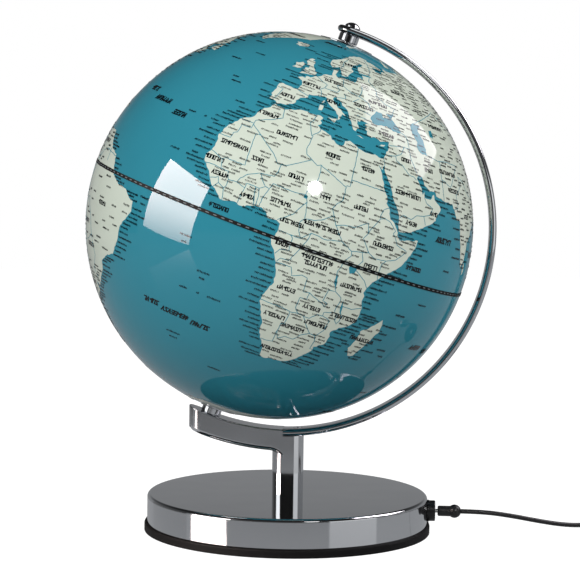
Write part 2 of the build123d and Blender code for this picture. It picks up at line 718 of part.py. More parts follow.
with BuildPart() as plug_body:
    with BuildSketch(Plane.XZ):
        with BuildLine():
            ball_spots = beside((ball_start, PLUG_D / 2), (ball_x, ball_r), (plug_end, plug_exit_r))
            back = ThreePointArc(*ball_spots)
            front_points = beside(
                (plug_end, 0),
                (plug_face + BARREL_ROOT, 0),
                (plug_face + BARREL_ROOT, barrel_r + FIT_CLEAR),
                (plug_face, barrel_r + FIT_CLEAR),
                (plug_face, PLUG_D / 2 - PLUG_EDGE),
                (plug_face + PLUG_EDGE, PLUG_D / 2),
            )
            Polyline(back @ 1, *front_points, back @ 0)
        make_face()
    revolve(axis=socket_axis)
finish(plug_body, "plug_body")


# Leads: every route is straight runs joined by arcs
def turn_radii(points, share):
    """Bend radius at each inner corner, from a share of the shorter run beside it."""
    radii = []
    for before, corner, after in zip(points, points[1:], points[2:]):
        half_turn = radians((corner - before).get_angle(after - corner)) / 2
        shorter = min((corner - before).length, (after - corner).length)
        radii.append(share * shorter / tan(half_turn))
    return radii


def report(name, piece, length, diameter):
    """Print a tube's volume beside its section times its length."""
    wanted = length * pi * diameter**2 / 4
    print(f"{name}: length {length:.1f}, volume {piece.part.volume:.1f}, wanted {wanted:.1f}")


under_z = weight_low - INNER_LEAD_UNDER
dip_low_x = weight_r + INNER_LEAD_ROOM
dip_high_x = (socket_rear + dip_low_x) / 2
lamp_end = on_axis(web_top - HOLDER_WEB / 2)
inner_route = [
    Vector(socket_rear, 0, SOCKET_Z),
    Vector(dip_high_x, 0, SOCKET_Z),
    Vector(dip_low_x, 0, under_z),
    Vector(0, 0, under_z),
    way_bend,
    way_end,
    lamp_end,
]
inner_radii = [INNER_LEAD_BEND] * 4 + [INNER_LEAD_NEAR_BEND]
with BuildPart() as lamp_lead:
    with BuildLine() as inner_path:
        FilletPolyline(*inner_route, radius=inner_radii)
    with BuildSketch(Plane(origin=inner_route[0], z_dir=inner_route[1] - inner_route[0])):
        Circle(INNER_LEAD_D / 2)
    sweep(path=inner_path.wire())
finish(lamp_lead, "lamp_lead")
report("lamp_lead", lamp_lead, inner_path.wire().length, INNER_LEAD_D)

lead_r = LEAD_D / 2
turn_pitch = LEAD_D + LEAD_GAP
coil_z = lead_r + TIE_THICK + TIE_CLEAR
lead_fall = SOCKET_Z - lead_r
outer_route = [Vector(plug_end, 0, SOCKET_Z)]
for along, aside, rise in LEAD_ROUTE:
    outer_route.append(Vector(plug_end + along, aside, lead_r + rise * lead_fall))
for along, aside in LEAD_LANDING:
    outer_route.append(Vector(plug_end + along, aside, coil_z))
outer_radii = turn_radii(outer_route, LEAD_BEND_SHARE)
print("lead_run radii", [round(radius, 1) for radius in outer_radii])
with BuildPart() as lead_run:
    with BuildLine() as outer_path:
        FilletPolyline(*outer_route, radius=outer_radii)
    with BuildSketch(Plane(origin=outer_route[0], z_dir=outer_route[1] - outer_route[0])):
        Circle(lead_r)
    sweep(path=outer_path.wire())
finish(lead_run, "lead_run")
report("lead_run", lead_run, outer_path.wire().length, LEAD_D)

# The rest of the lead: inwards on the table, up one layer, and outwards again
coil_start = outer_route[-1]
ahead = (coil_start - outer_route[-2]).normalized()
aside = Vector(ahead.Y, -ahead.X, 0)
layer_rise = Vector(0, 0, turn_pitch)
coil_outer_r = COIL_MID_D / 2 + COIL_HALF_TURNS * turn_pitch / 4
turn_rs = [coil_outer_r - k * turn_pitch / 2 for k in range(COIL_HALF_TURNS + 1)]
coil_tail = turn_rs[1] + LEAD_D
with BuildPart() as lead_coil:
    with BuildLine() as coil_path:
        at = coil_start + ahead * LEAD_D
        facing = 1
        Line(coil_start, at)
        for radius in turn_rs[:-1]:
            half = aside * (radius * facing)
            ThreePointArc(at, at + half + ahead * (radius * facing), at + half * 2)
            at = at + half * 2
            facing = -facing
        across = aside * (2 * turn_rs[-1] * facing) + layer_rise
        crest = at + across / 2 + ahead * (across.length / 2 * facing)
        TangentArc(at, crest, tangent=ahead * facing)
        TangentArc(crest, at + across, tangent=across)
        at = at + across
        facing = -facing
        for radius in reversed(turn_rs[2:-1]):
            half = aside * (radius * facing)
            ThreePointArc(at, at + half + ahead * (radius * facing), at + half * 2)
            at = at + half * 2
            facing = -facing
        coil_end = at + ahead * (coil_tail * facing)
        Line(at, coil_end)
    with BuildSketch(Plane(origin=coil_start, z_dir=ahead)):
        Circle(lead_r)
    sweep(path=coil_path.wire())
finish(lead_coil, "lead_coil")
coil_length = coil_path.wire().length
report("lead_coil", lead_coil, coil_length, LEAD_D)
coil_heading = ahead * facing

steps = int(coil_length / (LEAD_D / 2))
trail = [coil_path.wire() @ (k / steps) for k in range(steps + 1)]
apart = int(4 * LEAD_D / (coil_length / steps))
least = min((trail[i] - trail[j]).length for i in range(steps + 1) for j in range(i + apart, steps + 1))
print(f"lead_coil: least gap between turns {least - LEAD_D:.2f}")
whole = outer_path.wire().length + coil_length
print(f"whole lead {whole:.0f}")

# Tie round the turns on the side nearest the base
tie_reach = (TIE_WIDTH + turn_pitch) / 2
tie_in = sqrt((turn_rs[-2] - lead_r) ** 2 - tie_reach**2) - TIE_CLEAR
tie_out = turn_rs[1] + lead_r + TIE_CLEAR
tie_top = coil_z + turn_pitch + lead_r + TIE_CLEAR
tie_middle = coil_start + ahead * LEAD_D + aside * turn_rs[0]
with BuildPart() as lead_tie:
    with BuildSketch(Plane(origin=(tie_middle.X, tie_middle.Y, 0), x_dir=-ahead, z_dir=-aside)):
        with Locations(((tie_in + tie_out) / 2, (TIE_THICK + tie_top) / 2)):
            tie_width = tie_out - tie_in
            tie_height = tie_top - TIE_THICK
            RectangleRounded(tie_width + 2 * TIE_THICK, tie_height + 2 * TIE_THICK, TIE_CORNER + TIE_THICK)
            RectangleRounded(tie_width, tie_height, TIE_CORNER, mode=Mode.SUBTRACT)
    extrude(amount=TIE_WIDTH / 2, both=True)
finish(lead_tie, "lead_tie")

# Far plug, lying on the table in front of the coil
usb_thick = 2 * coil_end.Z
usb_plane = Plane(origin=coil_end, x_dir=(coil_heading.Y, -coil_heading.X, 0), z_dir=coil_heading)
usb_front = USB_RELIEF + USB_LENGTH
with BuildPart() as usb_plug_body:
    with BuildSketch(usb_plane):
        Circle(USB_RELIEF_D / 2)
    with BuildSketch(usb_plane.offset(USB_RELIEF)):
        Circle(USB_RELIEF_D / 2 + USB_RELIEF_FLARE)
    loft()
    with BuildSketch(usb_plane.offset(USB_RELIEF)):
        Rectangle(USB_WIDTH, usb_thick)
    moulding = extrude(amount=USB_LENGTH)
    fillet(moulding.edges().filter_by(Axis((0, 0, 0), coil_heading)), USB_EDGE)
    with BuildSketch(usb_plane.offset(usb_front)):
        Rectangle(USB_SHELL_WIDTH + 2 * FIT_CLEAR, USB_SHELL_THICK + 2 * FIT_CLEAR)
    extrude(amount=-USB_SHELL_ROOT, mode=Mode.SUBTRACT)
    with BuildSketch(usb_plane.offset(usb_front - USB_SHELL_ROOT)):
        tongue_gap = USB_SHELL_WALL + 2 * FIT_CLEAR
        with Locations((0, USB_SHELL_THICK / 2 - tongue_gap)):
            Rectangle(USB_SHELL_WIDTH - 2 * tongue_gap, USB_TONGUE, align=(Align.CENTER, Align.MAX))
    extrude(amount=USB_SHELL_ROOT + USB_SHELL_SHOWN - USB_TONGUE / 2)
finish(usb_plug_body, "usb_plug_body")

with BuildPart() as usb_plug_shell:
    with BuildSketch(usb_plane.offset(usb_front - USB_SHELL_ROOT)):
        Rectangle(USB_SHELL_WIDTH, USB_SHELL_THICK)
        Rectangle(
            USB_SHELL_WIDTH - 2 * USB_SHELL_WALL,
            USB_SHELL_THICK - 2 * USB_SHELL_WALL,
            mode=Mode.SUBTRACT,
        )
    extrude(amount=USB_SHELL_ROOT + USB_SHELL_SHOWN)
finish(usb_plug_shell, "usb_plug_shell")
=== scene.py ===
import logging
import math
import random
from dataclasses import dataclass
from enum import Enum
from typing import Callable, Dict, List, Optional, Sequence, Tuple, Union

import bpy
from bpy.types import Material, Object
from mathutils import Matrix, Vector


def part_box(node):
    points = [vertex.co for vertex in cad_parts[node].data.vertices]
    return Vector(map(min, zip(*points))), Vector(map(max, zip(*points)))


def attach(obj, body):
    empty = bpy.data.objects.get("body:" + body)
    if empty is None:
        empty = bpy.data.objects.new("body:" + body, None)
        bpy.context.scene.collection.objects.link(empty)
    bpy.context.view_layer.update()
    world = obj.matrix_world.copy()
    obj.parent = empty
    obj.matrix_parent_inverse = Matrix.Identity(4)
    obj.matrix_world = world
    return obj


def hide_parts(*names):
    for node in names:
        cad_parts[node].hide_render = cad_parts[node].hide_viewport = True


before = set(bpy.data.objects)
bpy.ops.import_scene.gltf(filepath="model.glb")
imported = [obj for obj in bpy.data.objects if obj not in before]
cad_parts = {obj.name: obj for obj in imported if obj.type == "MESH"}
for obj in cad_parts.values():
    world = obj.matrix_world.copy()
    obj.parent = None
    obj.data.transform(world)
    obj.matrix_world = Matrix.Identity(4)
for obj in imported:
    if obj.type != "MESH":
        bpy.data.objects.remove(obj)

Colour = Tuple[float, float, float, float]
Point = Tuple[float, float, float]
Place = Tuple[float, float]
Box = Tuple[float, float, float, float]
Stroke = Tuple[float, float, float, float]

LOG = logging.getLogger("desk_globe")
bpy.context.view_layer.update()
MM = 0.001
WHITE: Colour = (1.0, 1.0, 1.0, 1.0)
ALONG = 0.9  # how much of a direction or an edge runs along an axis that it follows
NORTH = Vector((0.333807, 0.0, 0.942641))
BALL_CENTRE = Vector((-7.5, 0.0, 198.289)) * MM
BALL_RADIUS = 125.0 * MM
BALL_TILT = math.asin(NORTH.x)
MM_PER_DEGREE = BALL_RADIUS / MM * math.pi / 180.0
DRUM_TOP = 23.7  # in millimetres, as is the next
SOCKET_HEIGHT = 14.0


class Body(Enum):
    """The bodies of the frame that pieces ride on."""

    STAND = "stand"
    GLOBE = "globe"


class Slot(Enum):
    """The record's material slots."""

    CHROME_BASE = "chrome_base"
    CHROME_CASTING = "chrome_casting"
    CHROME_BAND = "chrome_band"
    CHROME_FITTINGS = "chrome_fittings"
    FOOT_RUBBER = "foot_rubber"
    BALLAST = "ballast"
    PLATE_PLASTIC = "plate_plastic"
    SCREW_STEEL = "screw_steel"
    AXLE_STEEL = "axle_steel"
    MAP_PRINT = "map_print"
    TAPE_PRINT = "tape_print"
    INNER_PLASTIC = "inner_plastic"
    LAMP_DIFFUSER = "lamp_diffuser"
    SOCKET_PLASTIC = "socket_plastic"
    NUT_BRASS = "nut_brass"
    PLUG_PLASTIC = "plug_plastic"
    PLUG_METAL = "plug_metal"
    LEAD_JACKET = "lead_jacket"
    TIE_STRAP = "tie_strap"


def ink(red: int, green: int, blue: int) -> Colour:
    """Turns a screen colour into the linear one that shaders use.

    Args:
        red: red, 0 to 255.
        green: green, 0 to 255.
        blue: blue, 0 to 255.

    Returns:
        The linear colour, with an alpha of one.
    """

    def linear(level: int) -> float:
        """Undoes the screen's curve for one channel."""
        part = level / 255.0
        return part / 12.92 if part <= 0.04045 else ((part + 0.055) / 1.055) ** 2.4

    return (linear(red), linear(green), linear(blue), 1.0)


class Sock:
    """One output of a node, so that shader sums read as Python."""

    def __init__(self, graph: "Graph", link: bpy.types.NodeSocket) -> None:
        """Keeps the graph and the output."""
        self.graph = graph
        self.link = link

    def _sum(self, operation: str, first: "Term", second: "Term") -> "Sock":
        """Adds one Math node for two terms."""
        return self.graph.node("ShaderNodeMath", {"operation": operation}, {0: first, 1: second})

    def __add__(self, other: "Term") -> "Sock":
        """self + other."""
        return self._sum("ADD", self, other)

    def __radd__(self, other: "Term") -> "Sock":
        """other + self."""
        return self._sum("ADD", other, self)

    def __sub__(self, other: "Term") -> "Sock":
        """self - other."""
        return self._sum("SUBTRACT", self, other)

    def __rsub__(self, other: "Term") -> "Sock":
        """other - self."""
        return self._sum("SUBTRACT", other, self)

    def __mul__(self, other: "Term") -> "Sock":
        """self * other."""
        return self._sum("MULTIPLY", self, other)

    def __rmul__(self, other: "Term") -> "Sock":
        """other * self."""
        return self._sum("MULTIPLY", other, self)

    def __gt__(self, other: "Term") -> "Sock":
        """One where self is above other, and else zero."""
        return self._sum("GREATER_THAN", self, other)

    def __lt__(self, other: "Term") -> "Sock":
        """One where self is below other, and else zero."""
        return self._sum("LESS_THAN", self, other)

    def fraction(self) -> "Sock":
        """What is left of self after its whole part."""
        return self._sum("FRACT", self, 0.0)

    def size(self) -> "Sock":
        """Self without its sign."""
        return self._sum("ABSOLUTE", self, 0.0)


Term = Union[Sock, float]
Socket = Union[Sock, float, Sequence[float]]


class Graph:
    """A node tree that grows by expressions."""

    def __init__(self, tree: bpy.types.NodeTree) -> None:
        """Starts on an empty tree."""
        self.tree = tree
        tree.nodes.clear()

    def node(
        self,
        kind: str,
        settings: Optional[Dict[str, object]] = None,
        sockets: Optional[Dict[Union[int, str], Socket]] = None,
        out: Union[int, str] = 0,
    ) -> Sock:
        """Adds any node.

        Args:
            kind: the node's type.
            settings: its properties, or a ramp's stops, set first.
            sockets: values or links for its inputs, by name or number.
            out: which output is handed back.

        Returns:
            That output.
        """
        made = self.tree.nodes.new(kind)
        for name, value in (settings or {}).items():
            if name == "stops":
                self._stops(made.color_ramp, value)
            else:
                setattr(made, name, value)
        for name, value in (sockets or {}).items():
            if isinstance(value, Sock):
                self.tree.links.new(value.link, made.inputs[name])
            else:
                made.inputs[name].default_value = value
        return Sock(self, made.outputs[out]) if made.outputs else Sock(self, None)

    @staticmethod
    def _stops(ramp: bpy.types.ColorRamp, stops: Sequence[Tuple[float, Colour]]) -> None:
        """Gives a ramp its stops.

        Args:
            ramp: the ramp to fill.
            stops: places and colours, from low to high.
        """
        while len(ramp.elements) < len(stops):
            ramp.elements.new(1.0)
        for element, (place, colour) in zip(ramp.elements, stops):
            element.position = place
            element.color = colour

    def mix(self, share: Term, first: Socket, second: Socket) -> Sock:
        """Mixes two colours: the first at a share of zero, the second at one."""
        sockets = {0: share, 6: first, 7: second}
        return self.node("ShaderNodeMix", {"data_type": "RGBA"}, sockets, 2)

    def spot(self) -> Sock:
        """The point's place in the object's own frame."""
        return self.node("ShaderNodeTexCoord", out="Object")

    def noise(self, scale: float, detail: float = 2.0, where: Optional[Sock] = None) -> Sock:
        """Adds a noise of zero to one, on the object's coordinates or on others."""
        sockets = {"Vector": where or self.spot(), "Scale": scale, "Detail": detail}
        return self.node("ShaderNodeTexNoise", {}, sockets, "Fac")

    def bump(self, height: Sock, strength: float, distance: float) -> Sock:
        """Turns a height of zero to one into a normal, with the distance in metres."""
        sockets = {"Height": height, "Strength": strength, "Distance": distance}
        return self.node("ShaderNodeBump", {}, sockets)

    def surface(self, sockets: Dict[str, Socket]) -> None:
        """Ends a material in one shader with these values and links."""
        self.end(self.node("ShaderNodeBsdfPrincipled", {}, sockets))

    def glow(self, share: Sock, stops: Sequence[Tuple[float, Colour]], strength: float) -> None:
        """Ends a material in a run of light, for a share of zero to one along it."""
        tone = self.node("ShaderNodeValToRGB", {"stops": stops}, {0: share})
        self.end(self.node("ShaderNodeEmission", {}, {"Color": tone, "Strength": strength}))

    def end(self, shader: Sock) -> None:
        """Hands a shader to the material's output."""
        self.node("ShaderNodeOutputMaterial", {}, {"Surface": shader})

    def rays(self, *kinds: str) -> List[Sock]:
        """Tells kinds of rays apart, with one output for each."""
        return [self.node("ShaderNodeLightPath", {}, {}, kind) for kind in kinds]


def new_graph(name: str) -> Tuple[Material, Graph]:
    """Makes an empty material.

    Args:
        name: its name.

    Returns:
        The material and its graph.
    """
    material = bpy.data.materials.new(name)
    material.use_nodes = True
    return material, Graph(material.node_tree)


@dataclass(frozen=True)
class Finish:
    """What all finishes share: a named material that ends in one shader."""

    name: str

    def sockets(self, graph: Graph) -> Dict[str, Socket]:
        """Says what goes into the shader, which every finish does in its own way."""
        raise NotImplementedError

    def material(self) -> Material:
        """Makes the finish's material.

        Returns:
            The material.
        """
        material, graph = new_graph(self.name)
        graph.surface(self.sockets(graph))
        return material


@dataclass(frozen=True)
class Chrome(Finish):
    """Bright plated metal with a faint ripple and wiping marks."""

    tint: Colour = (0.70, 0.712, 0.73, 1.0)
    shade: Colour = (0.64, 0.655, 0.675, 1.0)
    polish: float = 0.045
    haze: float = 0.05
    ripple: float = 0.012
    ripple_scale: float = 22.0
    ripple_height: float = 0.01
    cloud_scale: float = 30.0
    wipe_scale: Point = (60.0, 60.0, 900.0)

    def sockets(self, graph: Graph) -> Dict[str, Socket]:
        """Clouds the tint, and hazes the polish where it was wiped.

        Args:
            graph: the material's graph.

        Returns:
            The shader's values and links.
        """
        cloud = graph.noise(self.cloud_scale, 3.0)
        wiped = graph.node(
            "ShaderNodeMapping", {}, {"Vector": graph.spot(), "Scale": self.wipe_scale}
        )
        marks = graph.noise(1.0, 4.0, wiped)
        ripple = graph.noise(self.ripple_scale, 1.0)
        return {
            "Base Color": graph.mix(cloud, self.tint, self.shade),
            "Metallic": 1.0,
            "Roughness": self.polish + self.haze * (cloud * marks),
            "Normal": graph.bump(ripple, self.ripple, self.ripple_height),
        }


@dataclass(frozen=True)
class Print(Finish):
    """Printed ink under a clear gloss coat."""

    colour: Colour
    cloud: Colour
    gloss: float = 0.16
    grit: float = 0.06
    drift_scale: float = 26.0
    screen_scale: float = 2600.0
    screen_share: float = 0.3
    coat_polish: float = 0.012
    coat_ior: float = 1.42

    def sockets(self, graph: Graph) -> Dict[str, Socket]:
        """Mixes the ink by a slow drift and a fine screen, and coats it.

        Args:
            graph: the material's graph.

        Returns:
            The shader's values and links.
        """
        drift = graph.noise(self.drift_scale, 3.0)
        screen = graph.noise(self.screen_scale, 1.0)
        share = drift * (1.0 - self.screen_share) + screen * self.screen_share
        return {
            "Base Color": graph.mix(share, self.colour, self.cloud),
            "Roughness": self.gloss + self.grit * screen,
            "Specular IOR Level": 0.0,
            "Coat Weight": 1.0,
            "Coat Roughness": self.coat_polish,
            "Coat IOR": self.coat_ior,
        }


@dataclass(frozen=True)
class Tape(Finish):
    """Black tape with a row of short pale dashes along its middle."""

    dark: Colour
    pale: Colour
    dashes: float = 150.0
    filled: float = 0.42
    line: float = 0.3 * MM
    fleck_scale: float = 1800.0
    fleck_share: float = 0.4
    gloss: float = 0.55
    grit: float = 0.1
    sheen: float = 0.12
    turns_ahead: float = 1000.0

    def sockets(self, graph: Graph) -> Dict[str, Socket]:
        """Lays the dashes out round the ball's own axis.

        Args:
            graph: the material's graph.

        Returns:
            The shader's values and links.
        """
        turned = graph.node(
            "ShaderNodeMapping",
            {"vector_type": "TEXTURE"},
            {"Vector": graph.spot(), "Location": BALL_CENTRE, "Rotation": (0.0, BALL_TILT, 0.0)},
        )
        parts = [graph.node("ShaderNodeSeparateXYZ", {}, {0: turned}, axis) for axis in "XYZ"]
        turn = graph.node("ShaderNodeMath", {"operation": "ARCTAN2"}, {0: parts[1], 1: parts[0]})
        dash = (turn * (self.dashes / math.tau) + self.turns_ahead).fraction() < self.filled
        within = parts[2].size() < self.line
        fleck = graph.noise(self.fleck_scale)
        shown = dash * within * ((1.0 - self.fleck_share) + self.fleck_share * fleck)
        return {
            "Base Color": graph.mix(shown, self.dark, self.pale),
            "Roughness": self.gloss + self.grit * fleck,
            "Specular IOR Level": self.sheen,
        }


@dataclass(frozen=True)
class Moulded(Finish):
    """Moulded plastic or rubber with a fine grain."""

    colour: Colour
    worn: Colour
    gloss: float = 0.45
    grain: float = 2400.0
    depth: float = 0.15
    sheen: float = 0.5
    cloud_scale: float = 60.0
    cloud_haze: float = 0.12
    grain_haze: float = 0.06
    grain_height: float = 0.00008

    def sockets(self, graph: Graph) -> Dict[str, Socket]:
        """Clouds the colour and the gloss, over a grained surface.

        Args:
            graph: the material's graph.

        Returns:
            The shader's values and links.
        """
        grain = graph.noise(self.grain, 2.0)
        cloud = graph.noise(self.cloud_scale, 3.0)
        return {
            "Base Color": graph.mix(cloud, self.colour, self.worn),
            "Roughness": self.gloss + self.cloud_haze * cloud - self.grain_haze * grain,
            "Specular IOR Level": self.sheen,
            "Normal": graph.bump(grain, self.depth, self.grain_height),
        }


@dataclass(frozen=True)
class Metal(Finish):
    """Plain turned or cast metal."""

    colour: Colour
    shade: Colour
    gloss: float = 0.35
    grain: float = 900.0
    haze: float = 0.15
    depth: float = 0.08
    grain_height: float = 0.0001

    def sockets(self, graph: Graph) -> Dict[str, Socket]:
        """Grains the colour, the gloss and the surface alike.

        Args:
            graph: the material's graph.

        Returns:
            The shader's values and links.
        """
        grain = graph.noise(self.grain, 4.0)
        return {
            "Base Color": graph.mix(grain, self.colour, self.shade),
            "Metallic": 1.0,
            "Roughness": self.gloss + self.haze * grain,
            "Normal": graph.bump(grain, self.depth, self.grain_height),
        }


@dataclass(frozen=True)
class Diffuser(Finish):
    """Milky lamp cover."""

    colour: Colour = (0.86, 0.85, 0.80, 1.0)
    edge: Colour = (0.78, 0.77, 0.73, 1.0)
    cloud_scale: float = 120.0
    gloss: float = 0.35
    haze: float = 0.1
    milk: float = 0.2
    milk_depth: Point = (0.004, 0.004, 0.003)

    def sockets(self, graph: Graph) -> Dict[str, Socket]:
        """Lets some light into a clouded cover.

        Args:
            graph: the material's graph.

        Returns:
            The shader's values and links.
        """
        cloud = graph.noise(self.cloud_scale, 2.0)
        return {
            "Base Color": graph.mix(cloud, self.colour, self.edge),
            "Roughness": self.gloss + self.haze * cloud,
            "Subsurface Weight": self.milk,
            "Subsurface Radius": self.milk_depth,
        }


@dataclass(frozen=True)
class Webbing(Finish):
    """Woven strap with a small rib."""

    colour: Colour
    thread: Colour
    rib: float = 900.0
    waver: float = 0.4
    gloss: float = 0.75
    haze: float = 0.15
    depth: float = 0.5
    rib_height: float = 0.0002

    def sockets(self, graph: Graph) -> Dict[str, Socket]:
        """Crosses two sets of ribs.

        Args:
            graph: the material's graph.

        Returns:
            The shader's values and links.
        """
        waves = [
            graph.node(
                "ShaderNodeTexWave",
                {"wave_type": "BANDS", "bands_direction": axis},
                {"Vector": graph.spot(), "Scale": self.rib, "Distortion": self.waver},
                "Fac",
            )
            for axis in "XY"
        ]
        weave = waves[0] * waves[1]
        return {
            "Base Color": graph.mix(weave, self.colour, self.thread),
            "Roughness": self.gloss + self.haze * weave,
            "Normal": graph.bump(weave, self.depth, self.rib_height),
        }


OCEAN = Print("ocean_print", ink(49, 138, 158), ink(56, 145, 164))
LAND = Print("land_print", ink(221, 229, 214), ink(214, 224, 210))
MARKS = Print("mark_print", ink(12, 20, 24), ink(20, 29, 33))

WARDROBE: Dict[Slot, Finish] = {
    Slot.CHROME_BASE: Chrome("base_chrome"),
    Slot.CHROME_CASTING: Chrome("casting_chrome", polish=0.06, ripple=0.02),
    Slot.CHROME_BAND: Chrome("band_chrome", polish=0.05),
    Slot.CHROME_FITTINGS: Chrome("fitting_chrome", polish=0.06),
    Slot.FOOT_RUBBER: Moulded("foot_rubber", ink(6, 6, 7), ink(11, 11, 12), 0.6, sheen=0.15),
    Slot.BALLAST: Metal("ballast_iron", ink(96, 96, 98), ink(70, 70, 73), 0.55, 300.0),
    Slot.PLATE_PLASTIC: Moulded(
        "plate_plastic", ink(26, 26, 27), ink(36, 36, 37), 0.5, 1200.0, 0.3
    ),
    Slot.SCREW_STEEL: Metal("screw_steel", ink(170, 171, 173), ink(140, 141, 144), 0.28),
    Slot.AXLE_STEEL: Metal("axle_steel", ink(180, 181, 183), ink(150, 151, 154), 0.22),
    Slot.MAP_PRINT: OCEAN,
    Slot.TAPE_PRINT: Tape("tape_print", ink(13, 16, 17), ink(128, 138, 140)),
    Slot.INNER_PLASTIC: Moulded("inner_plastic", ink(224, 224, 218), ink(210, 210, 204), 0.4),
    Slot.LAMP_DIFFUSER: Diffuser("lamp_diffuser"),
    Slot.SOCKET_PLASTIC: Moulded("socket_plastic", ink(10, 10, 11), ink(16, 16, 17), 0.3),
    Slot.NUT_BRASS: Metal("nut_brass", ink(196, 166, 96), ink(170, 140, 78), 0.3),
    Slot.PLUG_PLASTIC: Moulded("plug_plastic", ink(10, 10, 11), ink(16, 16, 17), 0.34),
    Slot.PLUG_METAL: Metal("plug_metal", ink(192, 192, 190), ink(168, 168, 167), 0.25),
    Slot.LEAD_JACKET: Moulded("lead_jacket", ink(9, 9, 10), ink(15, 15, 16), 0.36, 1500.0, 0.1),
    Slot.TIE_STRAP: Webbing("tie_strap", ink(18, 18, 19), ink(40, 40, 42)),
}


def add_object(name: str, data: bpy.types.ID) -> Object:
    """Adds a new object to the scene.

    Args:
        name: its name.
        data: its mesh, curve, lamp or lens.

    Returns:
        The object.
    """
    obj = bpy.data.objects.new(name, data)
    bpy.context.scene.collection.objects.link(obj)
    return obj


def standing(centre: Point, side: Vector, top: Vector) -> Matrix:
    """The matrix of an object that is placed by its middle and its X and Y axes."""
    turn = Matrix((side, top, side.cross(top))).transposed().to_4x4()
    return Matrix.Translation(centre) @ turn


